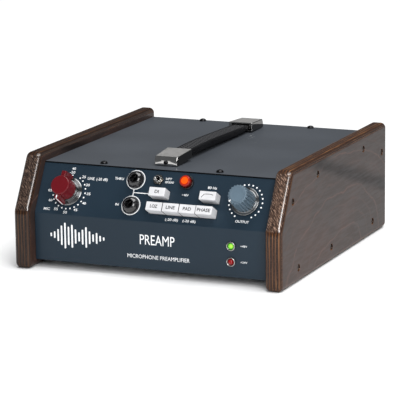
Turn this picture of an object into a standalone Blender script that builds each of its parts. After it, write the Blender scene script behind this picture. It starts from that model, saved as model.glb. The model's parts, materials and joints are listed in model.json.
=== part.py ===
"""Desktop microphone preamp: folded steel chassis between two plywood cheeks, sloped control panel,
strap handle on the lid, connectors at the rear.

Helper functions take millimetres in the design frame: X across, Y from front to rear with 0 on the
lower front panel, Z up with 0 on the table. The scene is in metres, with its origin under the
centre of the whole object.
"""

import math

import bmesh
import bpy
from mathutils import Matrix, Vector

MM = 0.001
GAP = 0.3  # clearance between neighbouring pieces

# Design frame: the object's middle, front to back.
CENTRE_Y = 118.47

# Plywood cheeks.
CHEEK_INNER_X = 107.5
CHEEK_THICK = 14.95
CHEEK_FRONT_Y = -11.1
CHEEK_BACK_Y = 249.8
CHEEK_KNEE_Z = 50.6
CHEEK_BROW_Y = 15.2
CHEEK_TOP_Z = 96.35
CHEEK_ROUND = 4.6
CHEEK_SCREWS = [  # Y and Z of each recess
    (16.0, 70.8),
    (73.9, 82.8),
    (187.2, 83.2),
    (236.4, 71.3),
    (28.4, 12.5),
    (106.3, 12.6),
    (211.9, 12.7),
]
CHEEK_SCREW_RECESS = (3.1, 1.9)  # radius, depth

# Chassis sheet metal.
CHASSIS_HALF = 107.2
FLOOR_Z = 6.8
SHEET = 1.5
PANEL_THICK = 2.0
FOLD_Z = 47.8
SLOPE_TILT = math.radians(60.64)
SLOPE_RUN = math.cos(SLOPE_TILT)  # Y gained per millimetre up the slope
SLOPE_RISE = math.sin(SLOPE_TILT)  # Z gained per millimetre up the slope
SLOPE_LENGTH = 44.92
LID_TOP_Z = 88.27
LID_SHEET = 1.0
LID_UNDER_Z = LID_TOP_Z - LID_SHEET
LID_FRONT_Y = 21.8
REAR_Y = 244.3
FLANGE_TOP_Z = 86.95
FLANGE_UNDER_Z = 85.45
FLANGE_REACH_Y = 38.0
WALL_TOP_Z = 84.6
LID_SCREW_X = (-54.6, 52.4)
LID_SCREW_Y = (28.6, 239.9)
LID_SCREW_HOLE = 1.8

# Strap handle, with its end caps tilted up towards the strap.
CAP_OUTER_Y = 35.2
CAP_LENGTH = 30.0
CAP_WIDTH = 21.8
CAP_FLARE = 0.052  # each cap is this share wider at its mouth and narrower at its outer end
CAP_SCREW_Z = 3.0
CAP_HEIGHT = 7.7
CAP_TILT_FRONT = math.radians(4.3)
CAP_TILT_REAR = math.radians(2.0)
CAP_FLOOR = 0.7
CAP_ROOF = 1.0
STRAP_WIDTH = 16.4
STRAP_END_THICK = 4.4
STRAP_MID_THICK = 6.0
STRAP_RISE = 1.0  # from the floor of a cap to the underside of the strap in it
STRAP_END_INSET = 8.5
STRAP_SWELL = 28.0  # length over which the strap thickens outside each cap
HANDLE_MID_Y = 132.2

# Controls on the slope: X and distance up from the fold.
GAIN_AT = (-78.85, 20.15)
OUTPUT_AT = (82.5, 23.9)
GAIN_POINTER = math.radians(185.6)  # clockwise from up-slope
OUTPUT_POINTER = math.radians(222.8)
THRU_JACK_AT = (-19.6, 35.45)
DI_JACK_AT = (-19.6, 12.9)
TOGGLE_AT = (1.5, 36.7)
TOGGLE_LEAN = math.radians(11)  # towards the fold
LAMP_AT = (27.5, 36.3)
BUTTON_PITCH = 15.1
BUTTON_ROW_X = 5.9
BUTTON_ROW_S = 11.1
DI_BUTTON_AT = (6.0, 23.9)
FILTER_BUTTON_AT = (51.8, 23.9)
BUTTON_SIZE = (14.7, 7.5)
BUTTON_HEIGHT = 10.0
BUTTON_TRAVEL = 3.0

# Indicators on the lower panel: X and height.
GREEN_LED_AT = (73.9, 33.2)
RED_LED_AT = (73.9, 19.9)

# Rear connectors: X and height.
INPUT_XLR_AT = (62.0, 46.0)
OUTPUT_XLR_AT = (22.0, 46.0)
POWER_AT = (-70.0, 40.0)

# Electronics inside.
BOARD_X = 92.0
BOARD_Y = (60.0, 230.0)
BOARD_Z = 16.0
BOARD_THICK = 1.6
ON_BOARD_Z = BOARD_Z + BOARD_THICK + GAP
CONTROL_BOARD_DEPTH = 15.5

OBJECT_NAME = "microphone_preamp"
parts = bpy.data.collections.new(OBJECT_NAME)
cutters = bpy.data.collections.new("cutters")


# ---------------------------------------------------------------- scene and placing

def clear_scene():
    for obj in list(bpy.data.objects):
        bpy.data.objects.remove(obj, do_unlink=True)
    bpy.context.scene.collection.children.link(parts)
    bpy.context.scene.collection.children.link(cutters)
    cutters.hide_render = True


def design(x, y, z):
    """World position of a point of the design frame."""
    return Vector((x, y - CENTRE_Y, z)) * MM


def on_design(obj):
    obj.location = design(0, 0, 0)
    return obj


def on_slope(obj, at, turn=0.0):
    """Stands the object on the sloped panel, its local Z outward, local Y up the slope."""
    x, s = at
    obj.location = design(x, s * SLOPE_RUN, FOLD_Z + s * SLOPE_RISE)
    tilt = Matrix.Rotation(SLOPE_TILT, 3, "X")
    spin = Matrix.Rotation(-turn, 3, "Z")
    obj.rotation_euler = (tilt @ spin).to_euler()
    return obj


def on_front(obj, at):
    """Stands the object on the lower front panel, local Z towards the front."""
    obj.location = design(at[0], 0, at[1])
    obj.rotation_euler = (math.pi / 2, 0, 0)
    return obj


def on_rear(obj, at):
    """Stands the object on the rear panel, local Z towards the rear."""
    obj.location = design(at[0], REAR_Y, at[1])
    obj.rotation_euler = (math.pi / 2, 0, math.pi)
    return obj


# ---------------------------------------------------------------- materials and objects

def material(name, colour, roughness, metallic=0.0):
    made = bpy.data.materials.new(name)
    made.use_nodes = True
    shader = made.node_tree.nodes["Principled BSDF"]
    shader.inputs["Base Color"].default_value = (*colour, 1.0)
    shader.inputs["Roughness"].default_value = roughness
    shader.inputs["Metallic"].default_value = metallic
    return made


def finish(name, mesh_edit, look, collection=parts):
    """Closes a bmesh into a named object with its own material."""
    bmesh.ops.recalc_face_normals(mesh_edit, faces=mesh_edit.faces)
    mesh = bpy.data.meshes.new(name)
    mesh_edit.to_mesh(mesh)
    mesh_edit.free()
    return wrap(name, mesh, look, collection)


def wrap(name, mesh, look, collection=parts):
    obj = bpy.data.objects.new(name, mesh)
    collection.objects.link(obj)
    if look:
        obj.data.materials.append(material(name, *look))
    if collection is cutters:
        obj.hide_render = True
        obj.display_type = "WIRE"
    return obj


def box(name, low, high, look=None, collection=parts):
    """A block between two corners."""
    shape = bmesh.new()
    bmesh.ops.create_cube(shape, size=1.0)
    size = [(b - a) * MM for a, b in zip(low, high)]
    middle = [(a + b) / 2 * MM for a, b in zip(low, high)]
    bmesh.ops.scale(shape, vec=size, verts=shape.verts)
    bmesh.ops.translate(shape, vec=middle, verts=shape.verts)
    return finish(name, shape, look, collection)


def cylinder(name, radius, low, high, look=None, collection=parts, segments=24, centre=(0, 0)):
    """An upright round or, with few segments, polygonal bar."""
    shape = bmesh.new()
    wide = radius * MM
    depth = (high - low) * MM
    bmesh.ops.create_cone(shape, cap_ends=True, segments=segments, radius1=wide, radius2=wide, depth=depth)
    middle = (centre[0] * MM, centre[1] * MM, (low + high) / 2 * MM)
    bmesh.ops.translate(shape, vec=middle, verts=shape.verts)
    return finish(name, shape, look, collection)


def prism(name, outline, low, high, look=None, collection=parts):
    """An outline in the YZ plane, drawn out along X."""
    shape = bmesh.new()
    ring = [shape.verts.new((low * MM, y * MM, z * MM)) for y, z in outline]
    face = shape.faces.new(ring)
    pulled = bmesh.ops.extrude_face_region(shape, geom=[face])
    moved = [item for item in pulled["geom"] if isinstance(item, bmesh.types.BMVert)]
    bmesh.ops.translate(shape, vec=((high - low) * MM, 0, 0), verts=moved)
    return finish(name, shape, look, collection)


def lathe(name, profile, look=None, collection=parts, steps=32):
    """A profile of (radius, height) turned about Z. Its outer side runs from top to bottom."""
    mesh = bpy.data.meshes.new(name)
    closed = profile[0][0] > 0 and profile[-1][0] > 0
    count = len(profile)
    links = [(i, i + 1) for i in range(count - 1)]
    if closed:
        links.append((count - 1, 0))
    mesh.from_pydata([(r * MM, 0, z * MM) for r, z in profile], links, [])
    obj = wrap(name, mesh, look, collection)
    turn = obj.modifiers.new("turn", "SCREW")
    turn.axis = "Z"
    turn.steps = steps
    turn.render_steps = steps
    turn.use_merge_vertices = True
    turn.merge_threshold = 0.00001
    turn.use_normal_calculate = False
    return obj


def combine(obj, other, operation):
    step = obj.modifiers.new(operation.lower(), "BOOLEAN")
    step.operation = operation
    step.solver = "EXACT"
    step.object = other
    return obj


def cut(obj, *others):
    for other in others:
        combine(obj, other, "DIFFERENCE")
    return obj


def join(obj, *others):
    for other in others:
        combine(obj, other, "UNION")
    return obj


def soften(obj, width, segments=2, angle=40):
    """Rounds every edge sharper than the angle."""
    step = obj.modifiers.new("soften", "BEVEL")
    step.width = width * MM
    step.segments = segments
    step.limit_method = "ANGLE"
    step.angle_limit = math.radians(angle)
    return obj


def smooth(obj, angle=35):
    """Smooth shading for round pieces, flat across their sharp edges."""
    graph = bpy.context.evaluated_depsgraph_get()
    mesh = bpy.data.meshes.new_from_object(obj.evaluated_get(graph), depsgraph=graph)
    obj.modifiers.clear()
    obj.data = mesh
    mesh.name = obj.name
    mesh.shade_smooth()
    mesh.set_sharp_from_angle(angle=math.radians(angle))
    return obj


def cutter_box(name, low, high):
    return box(name, low, high, collection=cutters)


def cutter_bar(name, radius, low, high, segments=24, centre=(0, 0)):
    return cylinder(name, radius, low, high, collection=cutters, segments=segments, centre=centre)


def arc(centre, radius, start, end, count):
    """Points of an arc in the YZ plane, angles in degrees."""
    points = []
    for i in range(count + 1):
        angle = math.radians(start + (end - start) * i / count)
        points.append((centre[0] + radius * math.cos(angle), centre[1] + radius * math.sin(angle)))
    return points


def behind_slope(depth, z):
    """Y of the plane that lies this deep behind the sloped panel's face, at a height."""
    along = (z - FOLD_Z + depth * SLOPE_RUN) / SLOPE_RISE
    return depth * SLOPE_RISE + along * SLOPE_RUN


def behind_fold(depth):
    """Where that plane meets the same depth behind the lower panel's face."""
    along = depth * (1 - SLOPE_RISE) / SLOPE_RUN
    return depth, FOLD_Z - depth * SLOPE_RUN + along * SLOPE_RISE


# ---------------------------------------------------------------- looks: colour, roughness, metallic

WOOD = ((0.115, 0.085, 0.075), 0.35)
LID_PAINT = ((0.09, 0.10, 0.12), 0.45)
PANEL_PAINT = ((0.035, 0.055, 0.07), 0.4)
BARE_STEEL = ((0.45, 0.46, 0.47), 0.4, 1.0)
BLACK_STEEL = ((0.02, 0.02, 0.022), 0.4, 0.6)
NICKEL = ((0.62, 0.60, 0.57), 0.22, 1.0)
CHROME = ((0.75, 0.74, 0.72), 0.12, 1.0)
ALUMINIUM = ((0.68, 0.69, 0.70), 0.28, 1.0)
BRASS = ((0.70, 0.52, 0.25), 0.3, 1.0)
STRAP_BLACK = ((0.03, 0.03, 0.032), 0.65)
RED_KNOB = ((0.32, 0.012, 0.018), 0.35)
BLUE_KNOB = ((0.14, 0.20, 0.26), 0.4)
BUTTON_WHITE = ((0.85, 0.85, 0.86), 0.3)
BLACK_PLASTIC = ((0.015, 0.015, 0.016), 0.25)
DARK_NYLON = ((0.03, 0.03, 0.035), 0.5)
AMBER = ((0.95, 0.22, 0.02), 0.2)
GREEN_LIGHT = ((0.25, 0.80, 0.06), 0.2)
RED_LIGHT = ((0.25, 0.01, 0.01), 0.2)
BOARD_GREEN = ((0.02, 0.12, 0.06), 0.5)
IRON = ((0.18, 0.18, 0.19), 0.5, 0.8)
CAPACITOR_BLUE = ((0.03, 0.06, 0.16), 0.4)


# ---------------------------------------------------------------- cabinet

def make_cheek(name, side):
    """side is -1 for the left cheek and +1 for the right one."""
    outline = [
        (CHEEK_FRONT_Y, 0),
        (CHEEK_FRONT_Y, CHEEK_KNEE_Z),
        (CHEEK_BROW_Y, CHEEK_TOP_Z),
        (CHEEK_BACK_Y, CHEEK_TOP_Z),
        (CHEEK_BACK_Y, 0),
    ]
    outer = CHEEK_INNER_X + CHEEK_THICK
    low, high = sorted((side * CHEEK_INNER_X, side * outer))
    cheek = on_design(prism(name, outline, low, high, WOOD))
    soften(cheek, CHEEK_ROUND, segments=4, angle=20)
    radius, depth = CHEEK_SCREW_RECESS
    for i, (y, z) in enumerate(CHEEK_SCREWS):
        recess = cutter_bar(f"{name}_recess_{i + 1}", radius, outer - depth, outer + 2, segments=16)
        recess.location = design(0, y, z)
        recess.rotation_euler = (0, side * math.pi / 2, 0)
        cut(cheek, recess)
    return smooth(cheek)


def make_tray():
    """Floor and two side walls in one folded sheet, with posts for the circuit board."""
    wall_x = CHASSIS_HALF - SHEET
    clear = PANEL_THICK + GAP
    rear = REAR_Y - PANEL_THICK - GAP
    floor = (-CHASSIS_HALF, clear, FLOOR_Z), (CHASSIS_HALF, rear, FLOOR_Z + SHEET)
    tray = on_design(box("chassis_tray", *floor, BARE_STEEL))
    outline = [
        (clear, FLOOR_Z),
        behind_fold(clear),
        (behind_slope(clear, WALL_TOP_Z), WALL_TOP_Z),
        (rear, WALL_TOP_Z),
        (rear, FLOOR_Z),
    ]
    for side in (-1, 1):
        low, high = sorted((side * wall_x, side * CHASSIS_HALF))
        join(tray, on_design(prism(f"tray_wall_{side}", outline, low, high, collection=cutters)))
    for x in (-82, 82):
        for y in (70, 222):
            post = cutter_bar(f"tray_post_{x}_{y}", 3.0, FLOOR_Z + 0.5, BOARD_Z - GAP, segments=12)
            post.location = design(x, y, 0)
            join(tray, post)
    return tray


def make_front_panel():
    """Lower face, fold, slope and a flange under the lid, with every opening for the controls."""
    inner = behind_fold(PANEL_THICK)
    top_y = SLOPE_LENGTH * SLOPE_RUN
    bend = 1.6
    reach = bend * math.tan((math.pi / 2 - SLOPE_TILT) / 2)
    centre = (bend, FOLD_Z - reach)
    fold = arc(centre, bend, 180, 180 - math.degrees(math.pi / 2 - SLOPE_TILT), 4)
    outline = [(0, FLOOR_Z)] + fold + [
        (top_y, FLANGE_TOP_Z),
        (FLANGE_REACH_Y, FLANGE_TOP_Z),
        (FLANGE_REACH_Y, FLANGE_UNDER_Z),
        (behind_slope(PANEL_THICK, FLANGE_UNDER_Z), FLANGE_UNDER_Z),
        inner,
        (PANEL_THICK, FLOOR_Z),
    ]
    panel = on_design(prism("front_panel", outline, -CHASSIS_HALF, CHASSIS_HALF, PANEL_PAINT))
    slope_holes = {
        "gain": (GAIN_AT, 4.9),
        "output": (OUTPUT_AT, 3.9),
        "thru_jack": (THRU_JACK_AT, 4.85),
        "di_jack": (DI_JACK_AT, 4.85),
        "toggle": (TOGGLE_AT, 3.3),
        "lamp": (LAMP_AT, 5.5),
    }
    for name, (at, radius) in slope_holes.items():
        cut(panel, on_slope(cutter_bar(f"{name}_hole", radius, -5, 3), at))
    half_x = BUTTON_SIZE[0] / 2 + GAP + 0.1
    half_s = BUTTON_SIZE[1] / 2 + GAP + 0.1
    for name, at in (("di", DI_BUTTON_AT), ("filter", FILTER_BUTTON_AT)):
        window = cutter_box(f"{name}_window", (-half_x, -half_s, -5), (half_x, half_s, 3))
        cut(panel, on_slope(window, at))
    row = cutter_box("row_window", (-half_x, -half_s, -5), (half_x + 3 * BUTTON_PITCH, half_s, 3))
    cut(panel, on_slope(row, (BUTTON_ROW_X, BUTTON_ROW_S)))
    for name, at in (("green", GREEN_LED_AT), ("red", RED_LED_AT)):
        cut(panel, on_front(cutter_bar(f"{name}_led_hole", 3.45, -5, 3), at))
    for x in LID_SCREW_X:
        cut(panel, lid_screw_hole(f"front_flange_hole_{x}", x, LID_SCREW_Y[0]))
    return panel


def lid_screw_hole(name, x, y):
    hole = cutter_bar(name, LID_SCREW_HOLE, FLANGE_UNDER_Z - 3, LID_TOP_Z + 3, segments=16)
    hole.location = design(x, y, 0)
    return hole


def make_rear_panel():
    outline = [
        (REAR_Y, FLOOR_Z),
        (REAR_Y, FLANGE_TOP_Z),
        (REAR_Y - 15, FLANGE_TOP_Z),
        (REAR_Y - 15, FLANGE_UNDER_Z),
        (REAR_Y - PANEL_THICK, FLANGE_UNDER_Z),
        (REAR_Y - PANEL_THICK, FLOOR_Z),
    ]
    panel = on_design(prism("rear_panel", outline, -CHASSIS_HALF, CHASSIS_HALF, PANEL_PAINT))
    for name, at, radius in (
        ("input", INPUT_XLR_AT, 12.0),
        ("output", OUTPUT_XLR_AT, 12.0),
        ("power", POWER_AT, 6.0),
    ):
        cut(panel, on_rear(cutter_bar(f"{name}_socket_hole", radius, -6, 3), at))
    for x in LID_SCREW_X:
        cut(panel, lid_screw_hole(f"rear_flange_hole_{x}", x, LID_SCREW_Y[1]))
    return panel


def make_lid():
    low = (-CHASSIS_HALF, LID_FRONT_Y, LID_UNDER_Z)
    high = (CHASSIS_HALF, REAR_Y, LID_TOP_Z)
    lid = on_design(box("top_cover", low, high, LID_PAINT))
    soften(lid, 0.3, segments=2)
    for x in LID_SCREW_X:
        for y in LID_SCREW_Y:
            cut(lid, lid_screw_hole(f"lid_hole_{x}_{y}", x, y))
    return lid


def make_lid_screw(name, x, y):
    """Button-head screw with a hexagon socket."""
    base = GAP
    profile = [
        (0, base + 1.9),
        (1.9, base + 1.8),
        (2.7, base + 1.2),
        (3.0, base + 0.5),
        (3.0, base),
        (1.45, base),
        (1.45, -6.0),
        (0, -6.0),
    ]
    screw = lathe(name, profile, BLACK_STEEL, steps=20)
    cut(screw, socket_for(screw, 1.15, base + 1.0, base + 3, (0, 0)))
    screw.location = design(x, y, LID_TOP_Z)
    move_cutters(screw)
    return smooth(screw)


def socket_for(screw, radius, low, high, centre):
    return cutter_bar(f"{screw.name}_socket", radius, low, high, segments=6, centre=centre)


def move_cutters(obj):
    """Moves the cutters that were drawn in the object's own frame to where the object stands."""
    for step in obj.modifiers:
        if step.type == "BOOLEAN" and step.object:
            step.object.location = obj.location
            step.object.rotation_euler = obj.rotation_euler
    bpy.context.view_layer.update()


# ---------------------------------------------------------------- handle

def make_handle_cap(name, y, turn, tilt):
    """Metal sleeve that holds one end of the strap, a little wider at its mouth."""
    half = CAP_WIDTH / 2
    cap = box(name, (-half, 0, 0), (half, CAP_LENGTH, CAP_HEIGHT), NICKEL)
    for vert in cap.data.vertices:
        vert.co.x *= 1 + CAP_FLARE * (2 * vert.co.y / (CAP_LENGTH * MM) - 1)
    soften(cap, 0.9, segments=3)
    inside = STRAP_WIDTH / 2 + GAP
    low = (-inside, STRAP_END_INSET - 1.0, CAP_FLOOR)
    pocket = cutter_box(f"{name}_pocket", low, (inside, CAP_LENGTH + 3, CAP_HEIGHT - CAP_ROOF))
    hole = cutter_bar(f"{name}_hole", 1.3, -4, 4, segments=12)
    cut(cap, pocket, hole)
    cap.location = design(0, y, LID_TOP_Z + GAP)
    cap.rotation_euler = (tilt, 0, turn)
    move_cutters(cap)
    centre = Matrix.Rotation(turn, 3, "Z") @ Matrix.Rotation(tilt, 3, "X")
    hole.location = cap.location + centre @ Vector((0, 0, CAP_SCREW_Z * MM))
    hole.rotation_euler = (centre @ Matrix.Rotation(math.pi / 2, 3, "X")).to_euler()
    bpy.context.view_layer.update()
    return cap


def make_handle_screw(name, y, turn, tilt):
    profile = [(0, 1.0), (1.0, 0.95), (1.7, 0.5), (1.75, 0.15), (1.0, 0.15), (1.0, -3.4), (0, -3.4)]
    screw = lathe(name, profile, BLACK_STEEL, steps=16)
    centre = Matrix.Rotation(turn, 3, "Z") @ Matrix.Rotation(tilt, 3, "X")
    seat = Vector((0, -0.15, CAP_SCREW_Z)) * MM
    screw.location = design(0, y, LID_TOP_Z + GAP) + centre @ seat
    screw.rotation_euler = (centre @ Matrix.Rotation(math.pi / 2, 3, "X")).to_euler()
    return smooth(screw)


def strap_top(y):
    """Height of the strap's top above the lid: straight in each cap, one gentle arch between them."""
    from_front = y - CAP_OUTER_Y
    from_rear = 2 * HANDLE_MID_Y - CAP_OUTER_Y - y
    slopes = math.tan(CAP_TILT_FRONT), -math.tan(CAP_TILT_REAR)
    in_cap = GAP + STRAP_RISE + STRAP_END_THICK
    ends = in_cap + CAP_LENGTH * slopes[0], in_cap - CAP_LENGTH * slopes[1]
    if from_front <= CAP_LENGTH:
        return in_cap + from_front * slopes[0]
    if from_rear <= CAP_LENGTH:
        return in_cap - from_rear * slopes[1]
    span = 2 * (HANDLE_MID_Y - CAP_OUTER_Y - CAP_LENGTH)
    t = (from_front - CAP_LENGTH) / span
    bow = slopes[0] * span * t * (1 - t) ** 2 - slopes[1] * span * t * t * (1 - t)
    return ends[0] + (ends[1] - ends[0]) * t * t * (3 - 2 * t) + bow * 0.7


def strap_thickness(y):
    beyond = HANDLE_MID_Y - abs(y - HANDLE_MID_Y) - CAP_OUTER_Y - CAP_LENGTH
    t = min(max(beyond / STRAP_SWELL, 0.0), 1.0)
    return STRAP_END_THICK + (STRAP_MID_THICK - STRAP_END_THICK) * t * t * (3 - 2 * t)


def make_strap():
    start = CAP_OUTER_Y + STRAP_END_INSET
    end = 2 * HANDLE_MID_Y - start
    stations = 26
    along = [start + (end - start) * i / stations for i in range(stations + 1)]
    top = [(y, LID_TOP_Z + strap_top(y)) for y in along]
    bottom = [(y, LID_TOP_Z + strap_top(y) - strap_thickness(y)) for y in reversed(along)]
    strap = prism("handle_strap", top + bottom, -STRAP_WIDTH / 2, STRAP_WIDTH / 2, STRAP_BLACK)
    soften(on_design(strap), 1.5, segments=3, angle=50)
    return smooth(strap)


# ---------------------------------------------------------------- knobs

def make_gain_knob():
    """Round winged knob. The wings run across it, and one of them is the pointer."""
    body = [(0, 20.2), (7.9, 20.2), (8.3, 19.8), (8.9, 7.4), (8.9, 6.9), (0, 6.9)]
    knob = lathe("gain_knob", body, RED_KNOB, steps=48)
    wing = [
        (-13.3, 4.7), (-13.0, 19.0), (-12.4, 19.6), (11.4, 19.6), (12.0, 19.0), (12.9, 4.7),
        (9.9, 4.7), (9.9, 7.0), (-9.9, 7.0), (-9.9, 4.7),
    ]
    wings = prism("gain_wings", wing, -2.0, 2.0, collection=cutters)
    join(knob, wings)
    for side in (-1, 1):
        low, high = sorted((side * 8.7, side * 14.0))
        cut(knob, cutter_box(f"gain_groove_{side}", (-0.8, low, 18.8), (0.8, high, 21)))
    cut(knob, cutter_bar("gain_bore", 3.3, 5, 14.6, segments=20))
    on_slope(knob, GAIN_AT, GAIN_POINTER)
    move_cutters(knob)
    return smooth(knob, 30)


def make_gain_skirt():
    """Turned aluminium skirt under the winged knob, with a raised lip."""
    profile = [
        (9.0, 6.6), (9.5, 6.3), (9.6, 5.6), (9.1, 4.9), (9.1, 2.9), (11.8, 2.3),
        (12.4, 1.8), (12.4, 1.0), (11.9, 0.6), (3.3, 0.6), (3.3, 6.6),
    ]
    skirt = lathe("gain_skirt", profile, ALUMINIUM, steps=40)
    return smooth(on_slope(skirt, GAIN_AT))


def make_shaft(name, at, radius, top, bottom):
    profile = [(0, top), (radius - 0.4, top), (radius, top - 0.4), (radius, bottom), (0, bottom)]
    return smooth(on_slope(lathe(name, profile, BRASS, steps=20), at))


def make_output_knob():
    """Fluted knob with a smooth crown, a setscrew hole and a pointer notch."""
    shape = bmesh.new()
    flutes = 20
    points = flutes * 4
    bmesh.ops.create_circle(shape, cap_ends=True, segments=points, radius=9.6 * MM)
    for vert in shape.verts:
        angle = math.atan2(vert.co.y, vert.co.x)
        vert.co.xy *= 1 - 0.035 * (1 - math.cos(flutes * angle)) / 2
    base = next(iter(shape.faces))
    face = base
    radius, height = 9.6, 0.0
    for next_height, next_radius in ((16.6, 8.8), (17.8, 8.5), (18.4, 7.7)):
        pulled = bmesh.ops.extrude_face_region(shape, geom=[face])
        verts = [item for item in pulled["geom"] if isinstance(item, bmesh.types.BMVert)]
        if face is not base and face.is_valid:
            bmesh.ops.delete(shape, geom=[face], context="FACES_ONLY")
        bmesh.ops.translate(shape, vec=(0, 0, (next_height - height) * MM), verts=verts)
        bmesh.ops.scale(shape, vec=(next_radius / radius, next_radius / radius, 1), verts=verts)
        face = next(item for item in pulled["geom"] if isinstance(item, bmesh.types.BMFace))
        radius, height = next_radius, next_height
    bmesh.ops.translate(shape, vec=(0, 0, 2.7 * MM), verts=shape.verts)
    knob = finish("output_knob", shape, BLUE_KNOB)
    crown_profile = [(0, 21.7), (6.1, 21.7), (6.5, 21.3), (6.5, 18), (0, 18)]
    crown = lathe("output_crown", crown_profile, None, cutters, steps=40)
    join(knob, crown)
    cut(knob, cutter_bar("output_bore", 3.3, 1, 14.6, segments=20))
    cut(knob, cutter_box("output_notch", (-0.45, 6.0, 20.5), (0.45, 10, 24)))
    on_slope(knob, OUTPUT_AT, OUTPUT_POINTER)
    move_cutters(knob)
    grub = cutter_bar("output_setscrew_hole", 0.9, 5, 12, segments=12)
    turn = knob.rotation_euler.to_matrix() @ Matrix.Rotation(math.radians(-38), 3, "Z")
    grub.rotation_euler = (turn @ Matrix.Rotation(math.pi / 2, 3, "Y")).to_euler()
    grub.location = knob.location + turn @ Vector((0, 0, 11.5 * MM))
    cut(knob, grub)
    bpy.context.view_layer.update()
    return smooth(knob, 30)


def make_output_skirt():
    profile = [
        (11.6, 2.4), (12.1, 2.0), (12.1, 1.0), (11.6, 0.6), (3.3, 0.6), (3.3, 2.4),
    ]
    return smooth(on_slope(lathe("output_skirt", profile, ALUMINIUM, steps=40), OUTPUT_AT))


def make_gain_switch():
    """Two-deck rotary switch behind the panel, with the threaded bushing through it."""
    profile = [
        (4.6, 0.2), (4.6, -2.3), (13.0, -2.3), (13.0, -6.5), (11.0, -6.5), (11.0, -11.0),
        (14.5, -11.0), (14.5, -12.6), (11.0, -12.6), (11.0, -19.0), (14.5, -19.0), (14.5, -20.6),
        (8.0, -20.6), (8.0, -24.0), (0, -24.0), (0, -10.8), (3.3, -10.8), (3.3, 0.2),
    ]
    return smooth(on_slope(lathe("gain_switch", profile, DARK_NYLON, steps=24), GAIN_AT))


def make_output_pot():
    profile = [
        (3.6, 0.2), (3.6, -2.3), (8.4, -2.3), (8.4, -11.5), (7.9, -12.0),
        (0, -12.0), (0, -8.3), (3.3, -8.3), (3.3, 0.2),
    ]
    return smooth(on_slope(lathe("output_pot", profile, BARE_STEEL, steps=24), OUTPUT_AT))


# ---------------------------------------------------------------- jacks, toggle, lamp

def make_jack(name, at):
    """Open-mouthed quarter-inch jack: threaded bushing and a moulded body behind the panel."""
    profile = [
        (4.5, 0.9), (4.5, -2.3), (7.0, -2.3), (7.0, -7.0), (8.0, -7.0), (8.0, -27.0),
        (0, -27.0), (0, -25.0), (3.25, -25.0), (3.25, -1.3), (3.9, -0.7), (4.1, 0.9),
    ]
    return smooth(on_slope(lathe(name, profile, BLACK_PLASTIC, steps=32), at))


def make_jack_nut(name, at):
    """Domed moulded nut that closes in round the mouth."""
    profile = [
        (3.7, 5.6), (4.4, 5.5), (5.4, 4.9), (6.3, 3.9), (7.0, 2.6), (7.5, 1.3), (7.6, 0.3),
        (4.85, 0.3), (4.85, 1.8), (3.5, 1.8), (3.5, 5.4),
    ]
    return smooth(on_slope(lathe(name, profile, BLACK_PLASTIC, steps=40), at))


def make_toggle():
    body = box("toggle_body", (-3.9, -6.4, -14.5), (3.9, 6.4, -2.3), BLACK_PLASTIC)
    neck_profile = [(2.9, 4.4), (2.9, -4), (0, -4), (0, -0.9), (2.2, -0.9), (2.2, 4.4)]
    neck = lathe("toggle_neck", neck_profile, None, cutters, steps=24)
    bore = cutter_bar("toggle_pivot_bore", 2.2, -0.9, 6)
    join(body, neck)
    cut(body, bore)
    on_slope(body, TOGGLE_AT)
    move_cutters(body)
    smooth(body)
    nut = cylinder("toggle_nut", 4.6, 0.3, 2.3, CHROME, segments=6)
    cut(nut, cutter_bar("toggle_nut_bore", 3.2, -1, 4))
    on_slope(nut, TOGGLE_AT)
    move_cutters(nut)
    smooth(nut)
    profile = [
        (0, 8.6), (0.9, 8.4), (1.3, 7.8), (1.3, 6.6), (0.85, 0.6), (1.2, 0.0), (0.9, -0.7), (0, -1.0),
    ]
    lever = lathe("toggle_lever", profile, CHROME, steps=16)
    on_slope(lever, TOGGLE_AT)
    pivot = lever.rotation_euler.to_matrix() @ Vector((0, 0, 1.6 * MM))
    lever.location = lever.location + pivot
    lever.rotation_euler.x += TOGGLE_LEAN
    smooth(lever)
    return body, nut, lever


def make_lamp():
    """Lit push button: black bezel tube, amber lens that presses in, switch body behind."""
    bezel = lathe("lamp_bezel", [
        (5.35, 2.4), (5.9, 2.3), (6.2, 1.7), (6.2, 0.3), (5.2, 0.3),
        (5.2, -4.5), (4.7, -4.5), (4.7, 0.7), (5.35, 0.7),
    ], BLACK_PLASTIC, steps=32)
    smooth(on_slope(bezel, LAMP_AT))
    lens = lathe("lamp_lens", [
        (0, 6.9), (2.6, 6.8), (3.9, 6.6), (4.6, 6.2), (4.9, 5.5),
        (4.9, 2.6), (4.4, 2.6), (4.4, -5.0), (0, -5.0),
    ], AMBER, steps=32)
    smooth(on_slope(lens, LAMP_AT))
    body = box("lamp_switch", (-5.6, -5.6, -20.0), (5.6, 5.6, -7.6), BLACK_PLASTIC)
    on_slope(soften(body, 0.6, segments=1), LAMP_AT)
    return bezel, lens, body


# ---------------------------------------------------------------- buttons

def make_button(name, at, lift=0.0):
    """White cap that slides through its window, with a square stem into the switch behind."""
    half_x, half_s = BUTTON_SIZE[0] / 2, BUTTON_SIZE[1] / 2
    cap = box(name, (-half_x, -half_s, -2.4), (half_x, half_s, BUTTON_HEIGHT + lift), BUTTON_WHITE)
    soften(cap, 0.35, segments=1)
    join(cap, cutter_box(f"{name}_stem", (-1.8, -1.8, -9.0), (1.8, 1.8, -1.0)))
    on_slope(cap, at)
    move_cutters(cap)
    return cap


def make_button_switch(name, at, count=1):
    """Moulded switch body with one square pocket for each button stem."""
    half_x, half_s = 6.7, 4.3
    last = (count - 1) * BUTTON_PITCH
    body = box(name, (-half_x, -half_s, -15.2), (half_x + last, half_s, -6.6), DARK_NYLON)
    for i in range(count):
        x = i * BUTTON_PITCH
        cut(body, cutter_box(f"{name}_pocket_{i + 1}", (x - 2.2, -2.2, -13.5), (x + 2.2, 2.2, -5)))
    on_slope(body, at)
    move_cutters(body)
    return body


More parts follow.
